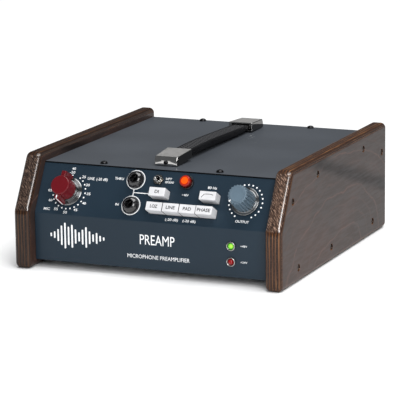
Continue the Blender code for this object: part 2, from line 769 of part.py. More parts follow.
# ---------------------------------------------------------------- indicators

def make_led(colour_name, at, look):
    bezel = lathe(f"{colour_name}_led_bezel", [
        (3.3, 1.7), (3.8, 1.3), (4.0, 0.7), (4.0, 0.3),
        (3.15, 0.3), (3.15, -4.0), (2.8, -4.0), (2.8, 1.3),
    ], CHROME, steps=28)
    smooth(on_front(bezel, at))
    lens = lathe(f"{colour_name}_led", [
        (0, 2.9), (1.0, 2.7), (1.9, 2.1), (2.4, 1.1), (2.5, 0.2), (2.5, -6.0), (0, -6.0),
    ], look, steps=20)
    smooth(on_front(lens, at))
    return bezel, lens


# ---------------------------------------------------------------- rear connectors

def make_xlr_flange(name, look):
    """Panel flange of a round connector with its two screw holes."""
    flange = box(name, (-13.0, -15.5, 0.3), (13.0, 15.5, 2.0), look)
    soften(flange, 0.5, segments=1)
    for i, (x, y) in enumerate(((-9.5, 12.0), (9.5, -12.0))):
        cut(flange, cutter_bar(f"{name}_fixing_{i + 1}", 1.6, -1, 4, segments=16, centre=(x, y)))
    return flange


def xlr_contacts(count=3, radius=4.4):
    return [
        (radius * math.sin(math.radians(120 * i)), -radius * math.cos(math.radians(120 * i)))
        for i in range(count)
    ]


def make_input_xlr():
    """Socket with three contact holes round a central insert, and a slot for the release tab."""
    body = make_xlr_flange("input_xlr", BLACK_STEEL)
    barrel = cutter_bar("input_barrel", 11.7, -20, 1.6, segments=32)
    join(body, barrel)
    ring = lathe("input_ring", [(9.6, 4), (9.6, -13), (8.0, -13), (8.0, 4)], None, cutters, steps=32)
    cut(body, ring)
    for i, centre in enumerate(xlr_contacts()):
        cut(body, cutter_bar(f"input_contact_{i + 1}", 1.4, -12, 4, segments=12, centre=centre))
    cut(body, cutter_box("input_tab_slot", (-4.6, 10.1, -1), (4.6, 17, 4)))
    on_rear(body, INPUT_XLR_AT)
    move_cutters(body)
    return smooth(body)


def make_input_latch():
    """Release tab over the input socket. It is pushed down to let the plug go."""
    tab = box("input_latch", (-4.2, 12.2, 0.35), (4.2, 15.5, 2.8), BLACK_PLASTIC)
    soften(tab, 0.4, segments=1)
    return on_rear(tab, INPUT_XLR_AT)


def make_output_xlr():
    """Open shell with three contact pins standing in it."""
    body = make_xlr_flange("output_xlr", BLACK_STEEL)
    join(body, cutter_bar("output_barrel", 11.7, -20, 1.6, segments=32))
    cut(body, cutter_bar("output_cavity", 9.2, -13.5, 4, segments=32))
    for i, centre in enumerate(xlr_contacts()):
        join(body, cutter_bar(f"output_pin_{i + 1}", 1.15, -15, -1.5, segments=10, centre=centre))
    on_rear(body, OUTPUT_XLR_AT)
    move_cutters(body)
    return smooth(body)


def make_power_inlet():
    profile = [
        (0, -1.0), (0.9, -1.2), (1.0, -9.0), (2.9, -9.0), (2.9, 2.4), (6.6, 2.4),
        (7.2, 1.8), (7.2, 0.3), (5.6, 0.3), (5.6, -12.0), (0, -12.0),
    ]
    return smooth(on_rear(lathe("power_inlet", profile, BLACK_PLASTIC, steps=28), POWER_AT))


# ---------------------------------------------------------------- electronics inside

def make_boards():
    low, high = (-BOARD_X, BOARD_Y[0], BOARD_Z), (BOARD_X, BOARD_Y[1], BOARD_Z + BOARD_THICK)
    main = box("main_board", low, high, BOARD_GREEN)
    on_design(main)
    top = -CONTROL_BOARD_DEPTH
    control = box("control_board", (-4.5, -6.0, top - BOARD_THICK), (57.5, 18.4, top), BOARD_GREEN)
    on_slope(control, (0, BUTTON_ROW_S))
    return main, control


def make_can(name, x, y, radius, height, look):
    """Upright round component with a rolled top edge."""
    foot = ON_BOARD_Z
    top = foot + height
    profile = [(0, top), (radius - 1.2, top), (radius, top - 1.2), (radius, foot), (0, foot)]
    can = lathe(name, profile, look, steps=24)
    can.location = design(x, y, 0)
    return smooth(can)


def make_core_transformer(name, x, y):
    """Laminated core with its winding showing on both sides."""
    core = box(name, (-22, -17, ON_BOARD_Z), (22, 17, ON_BOARD_Z + 38), IRON)
    low, high = (-13, -23, ON_BOARD_Z + 5), (13, 23, ON_BOARD_Z + 33)
    winding = box(f"{name}_winding", low, high, collection=cutters)
    soften(core, 0.8, segments=1)
    join(core, winding)
    core.location = design(x, y, 0)
    move_cutters(core)
    return core


# ---------------------------------------------------------------- build

def build():
    clear_scene()
    make_cheek("left_cheek", -1)
    make_cheek("right_cheek", 1)
    make_tray()
    make_front_panel()
    make_rear_panel()
    make_lid()
    for row, y in zip(("front", "rear"), LID_SCREW_Y):
        for side, x in zip(("left", "right"), LID_SCREW_X):
            make_lid_screw(f"lid_screw_{row}_{side}", x, y)

    far_y = 2 * HANDLE_MID_Y - CAP_OUTER_Y
    ends = (("front", CAP_OUTER_Y, 0, CAP_TILT_FRONT), ("rear", far_y, math.pi, CAP_TILT_REAR))
    for row, y, turn, tilt in ends:
        make_handle_cap(f"handle_cap_{row}", y, turn, tilt)
        make_handle_screw(f"handle_screw_{row}", y, turn, tilt)
    make_strap()

    make_gain_knob()
    make_gain_skirt()
    make_shaft("gain_shaft", GAIN_AT, 3.0, 14.2, -10.4)
    make_gain_switch()
    make_output_knob()
    make_output_skirt()
    make_shaft("output_shaft", OUTPUT_AT, 3.0, 14.2, -7.9)
    make_output_pot()

    for name, at in (("thru_jack", THRU_JACK_AT), ("di_jack", DI_JACK_AT)):
        make_jack(name, at)
        make_jack_nut(f"{name}_nut", at)
    make_toggle()
    make_lamp()

    make_button("button_di", DI_BUTTON_AT)
    make_button("button_filter", FILTER_BUTTON_AT)
    for i, (name, lift) in enumerate((("loz", 0), ("line", 0), ("pad", 0), ("phase", 0.5))):
        make_button(f"button_{name}", (BUTTON_ROW_X + i * BUTTON_PITCH, BUTTON_ROW_S), lift)
    make_button_switch("switch_bank", (BUTTON_ROW_X, BUTTON_ROW_S), 4)
    make_button_switch("switch_di", DI_BUTTON_AT)
    make_button_switch("switch_filter", FILTER_BUTTON_AT)

    make_led("green", GREEN_LED_AT, GREEN_LIGHT)
    make_led("red", RED_LED_AT, RED_LIGHT)

    make_input_xlr()
    make_input_latch()
    make_output_xlr()
    make_power_inlet()

    make_boards()
    make_can("input_transformer", 58, 190, 16, 36, ALUMINIUM)
    make_core_transformer("output_transformer", 8, 190)
    make_can("supply_capacitor_1", -60, 200, 9, 26, CAPACITOR_BLUE)
    make_can("supply_capacitor_2", -60, 176, 9, 26, CAPACITOR_BLUE)


build()
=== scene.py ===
"""Looks of the desktop microphone preamp: finished pieces and procedural materials around the CAD.

Helpers take millimetres: X across, Y back from the lower front panel, Z up from the table. On the
sloped panel S counts up from the fold.
"""

import json
import random
from functools import partialmethod
from math import atan2, cos, dist, pi, radians, sin, tan

import bmesh
import bpy
from mathutils import Matrix, Vector


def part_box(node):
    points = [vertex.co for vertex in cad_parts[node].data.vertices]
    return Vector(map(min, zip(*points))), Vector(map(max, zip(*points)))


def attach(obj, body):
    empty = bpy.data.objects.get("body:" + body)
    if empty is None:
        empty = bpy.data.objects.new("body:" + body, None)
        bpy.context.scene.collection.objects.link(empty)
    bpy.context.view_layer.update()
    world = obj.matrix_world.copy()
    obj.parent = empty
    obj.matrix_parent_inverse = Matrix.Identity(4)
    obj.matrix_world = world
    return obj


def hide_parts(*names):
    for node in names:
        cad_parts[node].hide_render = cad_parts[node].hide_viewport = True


MM = 0.001
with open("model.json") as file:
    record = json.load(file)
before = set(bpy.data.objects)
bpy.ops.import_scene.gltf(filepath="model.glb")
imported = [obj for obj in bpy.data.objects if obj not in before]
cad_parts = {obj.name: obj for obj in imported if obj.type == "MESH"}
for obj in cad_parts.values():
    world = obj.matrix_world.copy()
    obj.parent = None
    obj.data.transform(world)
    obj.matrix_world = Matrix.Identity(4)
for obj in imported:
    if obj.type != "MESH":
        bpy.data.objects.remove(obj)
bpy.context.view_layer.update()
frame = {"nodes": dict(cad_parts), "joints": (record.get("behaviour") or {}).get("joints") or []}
NODES = frame["nodes"]
JOINTS = {joint["name"]: joint for joint in frame["joints"]}

RIGHT, BACK, TOP = Vector((1, 0, 0)), Vector((0, 1, 0)), Vector((0, 0, 1))

# The planes that pieces stand on, and the two knobs' places on the slope.
FRONT_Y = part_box("front_panel")[0].y
REAR_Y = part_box("top_cover")[1].y
LID_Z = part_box("top_cover")[1].z
OUT = Vector(JOINTS["gain_turn"]["axis"])
UP = Vector((0, OUT.z, -OUT.y))
GAIN_AT = Vector(JOINTS["gain_turn"]["pos_m"])
OUTPUT_AT = Vector(JOINTS["output_turn"]["pos_m"])
FOLD_Z = GAIN_AT.z - (GAIN_AT.y - FRONT_Y) / UP.y * UP.z

# Cheeks, repeated from the CAD part. Screws are Y and Z.
CHEEK_THICK = 14.95
CHEEK_KNEE_Z = 50.6
CHEEK_BROW_Y = 15.2
CHEEK_ROUND = 4.6
CHEEK_SCREWS = [
    (16, 70.8), (73.9, 82.8), (187.2, 83.2), (236.4, 71.3),
    (28.4, 12.5), (106.3, 12.6), (211.9, 12.7),
]
SCREW_SINK = 1.9
PLIES = 11

# Handle, repeated from the CAD part.
CAP_OUTER_Y = 35.2
CAP_LENGTH = 30
CAP_WIDTH = 21.8
CAP_HEIGHT = 7.7
CAP_FLARE = 0.052
CAP_SCREW_Z = 3
CAP_LEAN = 2.4
CAP_BROW_Z = 4.7
CAP_TILT = {"front": radians(4.3), "rear": radians(2)}
CAP_FLOOR = 0.7
CAP_ROOF = 1
STRAP_WIDTH = 16.4
STRAP_END_THICK = 4.4
STRAP_MID_THICK = 6
STRAP_RISE = 1
STRAP_END_INSET = 8.5
STRAP_SWELL = 28
STRAP_LIP = 1.5
WEAVE_ALONG = 4
WEAVE_ACROSS = 2.6
HANDLE_MID_Y = 132.2
GAP = 0.3

# Controls, repeated from the CAD part: X and S on the slope, X and Z on the front and rear.
THRU_JACK_AT = (-19.6, 35.45)
DI_JACK_AT = (-19.6, 12.9)
TOGGLE_AT = (1.5, 36.7)
TOGGLE_LEAN = radians(11)
LAMP_AT = (27.5, 36.3)
BUTTONS = {
    "di": (6, 23.9), "filter": (51.8, 23.9), "loz": (5.9, 11.1), "line": (21, 11.1),
    "pad": (36.1, 11.1), "phase": (51.2, 11.1),
}
BUTTON_SIZE = (14.7, 7.5)
BUTTON_HEIGHT = 10
BUTTON_PITCH = 15.1
PROUD_BUTTON = 0.5
GAIN_POINTER = radians(185.6)
OUTPUT_POINTER = radians(222.8)
LEDS = {"green": (73.9, 33.2), "red": (73.9, 19.9)}
INPUT_XLR_AT = (62, 46)
OUTPUT_XLR_AT = (22, 46)
POWER_AT = (-70, 40)

# Printing: the thickness of the ink, and how much the small letters swell.
INK_THICK = 0.05
BOLD = 0.02


# ---- frames

def design(x, y, z):
    return Vector((x * MM, FRONT_Y + y * MM, z * MM))


def shift(x, y, z):
    return Matrix.Translation((x * MM, y * MM, z * MM))


def spin(axis, angle):
    return Matrix.Rotation(angle, 4, axis)


def pose(origin, x_axis, y_axis, z_axis):
    rows = [(x_axis[i], y_axis[i], z_axis[i], origin[i]) for i in range(3)]
    return Matrix((*rows, (0, 0, 0, 1)))


def slope(x, s, h=0):
    """Frame on the sloped panel: local X right, Y up the slope, Z outward."""
    origin = Vector((x * MM, FRONT_Y, FOLD_Z)) + UP * s * MM + OUT * h * MM
    return pose(origin, RIGHT, UP, OUT)


def on_slope(point):
    """X and S of a point on the sloped panel."""
    return point.x / MM, (point - Vector((point.x, FRONT_Y, FOLD_Z))).length / MM


def front(x, z, h=0):
    return pose(design(x, -h, z), RIGHT, TOP, -BACK)


def rear(x, z, h=0):
    return pose(Vector((x * MM, REAR_Y + h * MM, z * MM)), -RIGHT, TOP, BACK)


# ---- mesh building

def link(name, data):
    obj = bpy.data.objects.new(name, data)
    bpy.context.scene.collection.objects.link(obj)
    return obj


def to_object(name, shape, at=None, weld=True):
    """Makes an object of a bmesh drawn in millimetres."""
    if weld:
        bmesh.ops.remove_doubles(shape, verts=shape.verts, dist=0.0005)
    bmesh.ops.recalc_face_normals(shape, faces=shape.faces)
    bmesh.ops.scale(shape, vec=(MM, MM, MM), verts=shape.verts)
    mesh = bpy.data.meshes.new(name)
    shape.to_mesh(mesh)
    shape.free()
    if at is not None:
        mesh.transform(at)
    return link(name, mesh)


def evaluated(obj):
    graph = bpy.context.evaluated_depsgraph_get()
    return bpy.data.meshes.new_from_object(obj.evaluated_get(graph), depsgraph=graph)


def bake(obj):
    """Replaces the mesh by the one that its modifiers make."""
    mesh = evaluated(obj)
    obj.modifiers.clear()
    obj.data = mesh


def boolean(obj, other, operation="DIFFERENCE"):
    step = obj.modifiers.new(operation.lower(), "BOOLEAN")
    step.operation = operation
    step.solver = "EXACT"
    step.object = other
    bake(obj)
    bpy.data.objects.remove(other)


def bevel(obj, width, segments=3, angle=30):
    step = obj.modifiers.new("bevel", "BEVEL")
    step.width = width * MM
    step.segments = segments
    step.limit_method = "ANGLE"
    step.angle_limit = radians(angle)
    bake(obj)


def fillet(profile, steps=4):
    """Turns each corner of a profile of (radius, height, corner radius) into an arc."""
    points = []
    count = len(profile)
    for i, (r, z, size) in enumerate(profile):
        here = Vector((r, z))
        if size <= 0:
            points.append((r, z))
            continue
        before = (Vector(profile[i - 1][:2]) - here).normalized()
        after = (Vector(profile[(i + 1) % count][:2]) - here).normalized()
        reach = size / tan(before.angle(after) / 2)
        start, end = here + before * reach, here + after * reach
        for k in range(steps + 1):
            t = k / steps
            points.append(tuple(start.lerp(here, t).lerp(here.lerp(end, t), t)))
    return points


def polygon(radius, count):
    angles = [2 * pi * k / count for k in range(count)]
    return [(radius * cos(a), radius * sin(a)) for a in angles]


def skin(shape, low, high):
    """Faces all round between two loops of as many vertices."""
    for k in range(len(low)):
        m = (k + 1) % len(low)
        shape.faces.new((low[k], low[m], high[m], high[k]))


def turned(name, profile, at=None, steps=72):
    """A profile of (radius, height) turned about Z, closed up if neither end is on the axis."""
    shape = bmesh.new()
    rings = []
    for r, z in profile:
        points = [(0, 0)] if r < 1e-6 else polygon(r, steps)
        rings.append([shape.verts.new((x, y, z)) for x, y in points])
    pairs = list(zip(rings, rings[1:]))
    if len(rings[0]) > 1 and len(rings[-1]) > 1:
        pairs.append((rings[-1], rings[0]))
    for low, high in pairs:
        for k in range(steps):
            m = (k + 1) % steps
            corners = [low[k % len(low)], low[m % len(low)], high[m % len(high)], high[k % len(high)]]
            unique = list(dict.fromkeys(corners))
            if len(unique) > 2:
                shape.faces.new(unique)
    return to_object(name, shape, at)


def drawn_out(shape, outline, low, high):
    face = shape.faces.new([shape.verts.new((x, y, low)) for x, y in outline])
    pulled = bmesh.ops.extrude_face_region(shape, geom=[face])
    moved = [item for item in pulled["geom"] if isinstance(item, bmesh.types.BMVert)]
    bmesh.ops.translate(shape, vec=(0, 0, high - low), verts=moved)


def extruded(name, outline, low, high, at=None):
    """A closed outline of (x, y) points, drawn out along Z."""
    shape = bmesh.new()
    drawn_out(shape, outline, low, high)
    return to_object(name, shape, at, weld=False)


def block(name, low, high, at=None):
    outline = [(low[0], low[1]), (high[0], low[1]), (high[0], high[1]), (low[0], high[1])]
    return extruded(name, outline, low[2], high[2], at)


def slab(name, look, low, high, at, body="chassis", edge=0):
    """A finished block, its edges rounded if a width is given."""
    piece = block(name, low, high, at)
    if edge:
        bevel(piece, edge, segments=2)
    finished(piece, look, body=body)


def rod(radius, low, high, at, steps):
    return turned("rod", [(0, low), (radius, low), (radius, high), (0, high)], at, steps)


def painted(obj, look, angle):
    """Shades smooth up to an angle in degrees, under one material."""
    obj.data.shade_smooth()
    obj.data.set_sharp_from_angle(angle=radians(angle))
    obj.data.materials.clear()
    obj.data.materials.append(LOOKS[look].material)


def finished(obj, look, node=None, body="chassis", angle=35):
    """Paints a piece and hangs it on its body in place of its CAD node."""
    painted(obj, look, angle)
    obj.modifiers.new("even_faces", "WEIGHTED_NORMAL").keep_sharp = True
    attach(obj, body)
    if node:
        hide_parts(node)


def lathed(name, look, profile, at, steps, node=None, body="chassis", angle=35, arc=4):
    """A finished piece turned from a profile of (radius, height, corner radius)."""
    finished(turned(name, fillet(profile, arc), at, steps), look, node, body, angle)


# ---- material building

class Wire:
    """An output of a shader node. What is done to it adds nodes."""

    def __init__(self, look, socket):
        self.look, self.socket = look, socket

    def op(self, operation, *terms):
        return self.look.math(operation, self, *terms)

    __add__ = partialmethod(op, "ADD")
    __sub__ = partialmethod(op, "SUBTRACT")
    __mul__ = partialmethod(op, "MULTIPLY")
    __truediv__ = partialmethod(op, "DIVIDE")
    __abs__ = partialmethod(op, "ABSOLUTE")

    def scaled(self, factor, offset):
        return self.op("MULTIPLY_ADD", factor, offset)

    def off_whole(self):
        """Distance from the nearest whole number."""
        return self.op("PINGPONG", 0.5)

    def ramp(self, *stops):
        """Stops are (position, colour or grey)."""
        node = self.look.tree.nodes.new("ShaderNodeValToRGB")
        self.look.put(node, 0, self)
        node.color_ramp.interpolation = "EASE"
        points = node.color_ramp.elements
        while len(points) < len(stops):
            points.new(0.5)
        for point, (position, colour) in zip(points, stops):
            point.position = position
            point.color = (*colour, 1) if isinstance(colour, tuple) else (colour, colour, colour, 1)
        return Wire(self.look, node.outputs[0])

    def rise(self, low, high):
        return self.ramp((low, 0), (high, 1))

    def mix(self, a, b):
        """Colour a where this is 0 and b where it is 1."""
        return self.look.mix(self, a, b)


class Look:
    """A Principled material and the nodes that feed it."""

    def __init__(self, name, colour, rough, metallic=0, **sockets):
        self.material = bpy.data.materials.new(name)
        self.material.use_nodes = True
        self.tree = self.material.node_tree
        self.shader = next(n for n in self.tree.nodes if n.type == "BSDF_PRINCIPLED")
        self.feed(Base_Color=(*colour, 1), Roughness=rough, Metallic=metallic, **sockets)
        self.place = self.add("TexCoord", {}, "Object")

    def put(self, node, index, value):
        if isinstance(value, Wire):
            self.tree.links.new(value.socket, node.inputs[index])
        else:
            node.inputs[index].default_value = value

    def feed(self, **sockets):
        for socket, value in sockets.items():
            self.put(self.shader, socket.replace("_", " "), value)

    def add(self, kind, inputs, output=0, **settings):
        node = self.tree.nodes.new("ShaderNode" + kind)
        for setting, value in settings.items():
            setattr(node, setting, value)
        for index, value in inputs.items():
            self.put(node, index, value)
        return Wire(self, node.outputs[output])

    def math(self, operation, *terms):
        return self.add("Math", dict(enumerate(terms)), operation=operation)

    def vector(self, operation, *terms, output=1):
        return self.add("VectorMath", dict(enumerate(terms)), output, operation=operation)

    def joined(self, x, y):
        return self.add("CombineXYZ", {0: x, 1: y})

    def split(self, vector):
        node = self.tree.nodes.new("ShaderNodeSeparateXYZ")
        self.put(node, 0, vector)
        return [Wire(self, socket) for socket in node.outputs]

    def normal(self):
        return self.split(self.add("NewGeometry", {}, "Normal"))

    def stretched(self, scale):
        return self.add("Mapping", {0: self.place, "Scale": scale})

    def noise(self, scale, detail=3, rough=0.5, at=None):
        inputs = {"Vector": at or self.place, "Scale": scale, "Detail": detail, "Roughness": rough}
        return self.add("TexNoise", inputs)

    def streaks(self, scale, detail, rough):
        return self.noise(1, detail, rough, self.stretched(scale))

    def mix(self, factor, a, b, blend="MIX"):
        ends = [(*value, 1) if isinstance(value, tuple) else value for value in (a, b)]
        inputs = {0: factor, 6: ends[0], 7: ends[1]}
        return self.add("Mix", inputs, 2, data_type="RGBA", blend_type=blend)

    def gloss(self, source, low, high, start=0.3, end=0.7):
        self.feed(Roughness=source.ramp((start, low), (end, high)))

    def bump(self, height, strength, distance):
        inputs = {"Strength": strength, "Distance": distance * MM, "Height": height}
        normal = self.add("Bump", inputs)
        self.feed(Normal=normal)
        if self.shader.inputs["Coat Weight"].default_value > 0:
            self.feed(Coat_Normal=normal)


def shifted(colour, factor):
    return tuple(channel * factor for channel in colour)


def uneven(source, colour, first, last, low=0.3, high=0.7):
    """The colour, going from one share of itself to another as the source rises."""
    return source.rise(low, high).mix(shifted(colour, first), shifted(colour, last))


def powder_coat(name, colour, rough, grain=1500, bump=0.25, specular=0.4, painted_shade_ends=False):
    """Baked paint: orange peel, slow changes of tone and gloss, a little dust."""
    look = Look(name, colour, rough, Specular_IOR_Level=specular)
    cloud = look.noise(14, 3)
    specks = look.noise(260, 5, 0.7).ramp((0.66, 0), (0.8, 0.35))
    tone = specks.mix(uneven(cloud, colour, 0.92, 1.07), shifted(colour, 1.9))
    if painted_shade_ends:
        # Painted shade: faces turned to the front and back go near black with little gloss, for the shadow gap
        # at the lid's front edge.
        ends = abs(look.normal()[1]).rise(0.45, 0.8)
        tone = ends.mix(tone, (0.003, 0.003, 0.004))
        look.feed(Specular_IOR_Level=ends.ramp((0, specular), (1, 0.05)))
    look.feed(Base_Color=tone)
    look.gloss(cloud, rough - 0.04, rough + 0.05, 0.25, 0.75)
    look.bump(look.noise(grain, 4), bump, 0.04)
    return look


def plastic(name, colour, rough, grain=2200, bump=0.12, **sockets):
    """Moulded plastic: fine skin, faint scuffs, uneven tone."""
    look = Look(name, colour, rough, **sockets)
    scuff = look.noise(900, 5, 0.7, look.stretched((1, 0.15, 1)))
    look.feed(Base_Color=uneven(look.noise(90, 3), colour, 0.93, 1.06))
    look.gloss(scuff, rough, rough + 0.12, 0.35, 0.72)
    look.bump(look.noise(grain, 3), bump, 0.03)
    return look


def white_moulding(name, colour, rough):
    """Button plastic, with painted shade on the sides where the caps of the lower row face each other."""
    look = Look(name, colour, rough, Specular_IOR_Level=0.4)
    x, _, height = look.split(look.place)
    row_x, row_s = BUTTONS["loz"]
    row_top = FOLD_Z + (row_s + BUTTON_SIZE[1] / 2) * MM * UP.z + BUTTON_HEIGHT * MM * OUT.z
    low = height.op("LESS_THAN", row_top)
    inner = x.op("LESS_THAN", (row_x + 2.6 * BUTTON_PITCH) * MM)
    # Painted shade: the +X sides of the lower caps, which face their neighbours, go near black.
    painted_shade_between_caps = low * inner * look.normal()[0].rise(0.6, 0.85)
    tone = uneven(look.noise(90, 3), colour, 0.95, 1.04)
    look.feed(Base_Color=painted_shade_between_caps.mix(tone, (0.03, 0.03, 0.033)))
    look.gloss(look.noise(900, 4, 0.7), rough, rough + 0.12, 0.35, 0.72)
    look.bump(look.noise(1500, 3), 0.1, 0.03)
    return look


def bare_metal(name, colour, rough, stretch=(1, 1, 1), grain=1200, bump=0.2):
    """Metal with machining marks, smudges and slight tarnish."""
    look = Look(name, colour, rough, 1)
    marks = look.noise(grain, 4, 0.65, look.stretched(stretch))
    look.feed(Base_Color=uneven(look.noise(120, 3), colour, 1, 0.85, 0.35, 0.75))
    look.gloss(marks, rough - 0.05, rough + 0.09)
    look.bump(marks, bump, 0.02)
    return look


def turned_metal(name, colour, rough, centre, bump):
    """Aluminium off a lathe: rings about an axis that stands out of the slope."""
    look = Look(name, colour, rough, 1, Anisotropic=1)
    offset = look.vector("SUBTRACT", look.place, centre, output=0)
    settings = {"vector_type": "VECTOR", "convert_from": "OBJECT", "convert_to": "WORLD"}
    look.feed(Tangent=look.add("VectorTransform", {0: offset}, **settings))
    along = look.vector("DOT_PRODUCT", offset, OUT)
    length = look.vector("LENGTH", offset)
    radius = (length * length - along * along).op("MAXIMUM", 0).op("SQRT")
    marks = look.noise(3600, 3, 0.6, look.joined(radius, along * 0.4))
    look.feed(Base_Color=uneven(look.noise(200, 3), colour, 1, 0.86, 0.4, 0.8))
    look.gloss(marks, rough - 0.06, rough + 0.08)
    look.bump(marks, bump, 0.02)
    return look


def ply_edge(look, x, y, z, facing):
    """Colour where the plies surface, the mask of upward faces, and the pores."""
    nx, ny, nz = map(abs, facing)
    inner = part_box("right_cheek")[0].x + 0.0003
    counted = (abs(x) - inner + look.noise(45, 2) * 0.0006) / (CHEEK_THICK * MM) * PLIES
    cross = counted.op("FLOOR").op("MODULO", 2)
    along = look.streaks((1500, 45, 1500), 4, 0.62)
    upright = look.streaks((1500, 1500, 45), 4, 0.62)
    pores = look.streaks((1500, 800, 1500), 2, 0.6)
    long_grain = cross.mix(along, upright).ramp(
        (0.3, (0.026, 0.008, 0.004)), (0.5, (0.09, 0.035, 0.013)), (0.7, (0.26, 0.12, 0.045))
    )
    end_grain = pores.ramp(
        (0.35, (0.007, 0.0035, 0.0025)), (0.55, (0.024, 0.011, 0.007)), (0.75, (0.095, 0.05, 0.028))
    )
    edge = cross.mix(ny, nz).rise(0.35, 0.95).mix(long_grain, end_grain)
    edge = counted.off_whole().ramp((0, 0.8), (0.1, 0)).mix(edge, (0.008, 0.004, 0.003))

    # Sloped edges are cut across the fibres, so they show short slanting flecks.
    up_slope = y * UP.y + z * UP.z
    fleck_at = look.joined((x + up_slope * 0.8) * 1300, up_slope * 280)
    flecked = look.noise(1, 4, 0.66, fleck_at).ramp(
        (0.38, (0.006, 0.003, 0.002)), (0.5, (0.05, 0.025, 0.015)), (0.64, (0.38, 0.24, 0.17))
    )
    upward = facing[2].ramp((0.22, 0), (0.34, 0.9), (0.6, 0.9), (0.8, 0))
    edge = (upward * ny.rise(0.35, 0.6)).mix(edge, flecked)
    # Painted shade: the left cheek's edges are painted at half the brightness of the right cheek's.
    edge = look.mix(1, edge, x.scaled(4, 0.5).ramp((0.2, 0.5), (0.8, 1)), "MULTIPLY")
    corner = nx.ramp((0.66, 0), (0.84, 0.85), (0.96, 0))
    return corner.mix(edge, (0.01, 0.006, 0.005)), upward, pores


def rotary_veneer(look, y, z):
    """Colour of the faces, grain and a painted dark reflection band. The arches are contour lines of a warped
    bowl.
    """
    from_peak = y - 0.0115
    ahead = from_peak.op("MAXIMUM", 0) / 0.048
    behind = from_peak.op("MINIMUM", 0) / 0.066
    across, rise = ahead + behind, z / 0.029
    bowl = (across * across + rise * rise).op("SQRT") + (look.noise(13, 5) - 0.5) * 1.1
    grain = look.streaks((300, 38, 420), 5, 0.68)
    veneer = grain.ramp((0.25, (0.022, 0.015, 0.013)), (0.5, (0.034, 0.023, 0.02)), (0.8, (0.05, 0.034, 0.029)))
    veneer = look.noise(22, 3).ramp((0.35, 0), (0.75, 0.6)).mix(veneer, (0.062, 0.03, 0.022))
    broken = grain.ramp((0.38, 0.2), (0.6, 1))
    lines = bowl.off_whole().ramp((0, 0.42), (0.012, 0.22), (0.035, 0)) * broken
    faint = (bowl * 3).off_whole().ramp((0, 0.15), (0.06, 0.06), (0.14, 0)) * broken
    veneer = lines.op("MAXIMUM", faint).mix(veneer, (0.17, 0.085, 0.065))
    # Painted reflection: a dark diagonal band across the face stands in for the reflection of something dark,
    # with a thinner lacquer coat so the floor's reflection doesn't lighten it.
    off_painted_reflection = y.scaled(0.303, z) - 0.0779
    painted_dark_reflection = off_painted_reflection.scaled(30, 0.5).ramp((0.22, 0), (0.47, 0.75), (0.56, 0.75), (0.85, 0))
    return painted_dark_reflection.mix(veneer, (0.008, 0.006, 0.006)), grain, painted_dark_reflection


def plywood(name):
    """Stained birch plywood under lacquer."""
    lacquer = {"Coat_Weight": 0.5, "Coat_Roughness": 0.12, "Coat_IOR": 1.9}
    look = Look(name, (0.05, 0.03, 0.025), 0.45, Specular_IOR_Level=0.1, **lacquer)
    x, y, z = look.split(look.place)
    facing = look.normal()
    edge, upward, pores = ply_edge(look, x, y, z, facing)
    veneer, grain, painted_dark_reflection = rotary_veneer(look, y, z)
    flat = abs(facing[0]).rise(0.9, 0.985)
    coat = flat.mix(
        upward.mix((0.16, 0.16, 0.16), (1, 1, 1)), painted_dark_reflection.mix((0.1, 0.1, 0.1), (0.02, 0.02, 0.02))
    )
    look.feed(Base_Color=flat.mix(edge, veneer), Coat_Weight=coat)
    look.gloss(grain, 0.38, 0.52)
    look.bump(look.mix(0.35, flat.mix(pores, grain), look.noise(70, 2)), 0.2, 0.12)
    return look


def strap_look(name):
    """Black rubbery moulding, its raised strands on the top coloured pale."""
    look = Look(name, (0.012, 0.012, 0.013), 0.42, Specular_IOR_Level=0.12)
    fine = look.noise(1600, 5, 0.7)
    x, y, _ = look.split(look.place)
    column = x.scaled(1 / (WEAVE_ACROSS * MM), 50 / WEAVE_ACROSS).op("FLOOR")
    along = (y - FRONT_Y) * (2 * pi / (WEAVE_ALONG * MM))
    strand = column.scaled(pi, along).op("SINE").rise(0.5, 0.9)
    field = abs(x).op("LESS_THAN", (STRAP_WIDTH / 2 - 2.2) * MM)
    raised = strand * field * look.normal()[2].rise(0.5, 0.8)
    black = look.noise(70, 3).ramp((0.3, (0.003, 0.003, 0.004)), (0.7, (0.006, 0.006, 0.007)))
    look.feed(Base_Color=raised.mix(black, (0.125, 0.125, 0.13)))
    look.gloss(fine, 0.36, 0.55)
    look.bump(fine, 0.3, 0.05)
    return look


def polished_cap(name):
    """Nickel plate: mirror sides painted dark as a painted reflection of the dark lid, satin top brushed along
    the strap.
    """
    look = Look(name, (0.66, 0.64, 0.61), 0.1, 1)
    side, _, up = map(abs, look.normal())
    top = up.rise(0.93, 0.985)
    brushed = look.streaks((2600, 90, 2600), 4, 0.6)
    cloud = look.noise(160, 3)
    gloss = top.mix(cloud.ramp((0.3, 0.05), (0.75, 0.12)), brushed.ramp((0.3, 0.46), (0.7, 0.6)))
    plate = cloud.rise(0.4, 0.8).mix((0.53, 0.52, 0.51), (0.46, 0.45, 0.43))
    # Painted reflection: the sides get a near-black base colour, standing in for the dark lid they mirror.
    look.feed(Base_Color=side.rise(0.7, 0.92).mix(plate, (0.1, 0.095, 0.09)), Roughness=gloss)
    look.bump(top.mix(look.noise(240, 2), brushed), 0.14, 0.03)
    return look


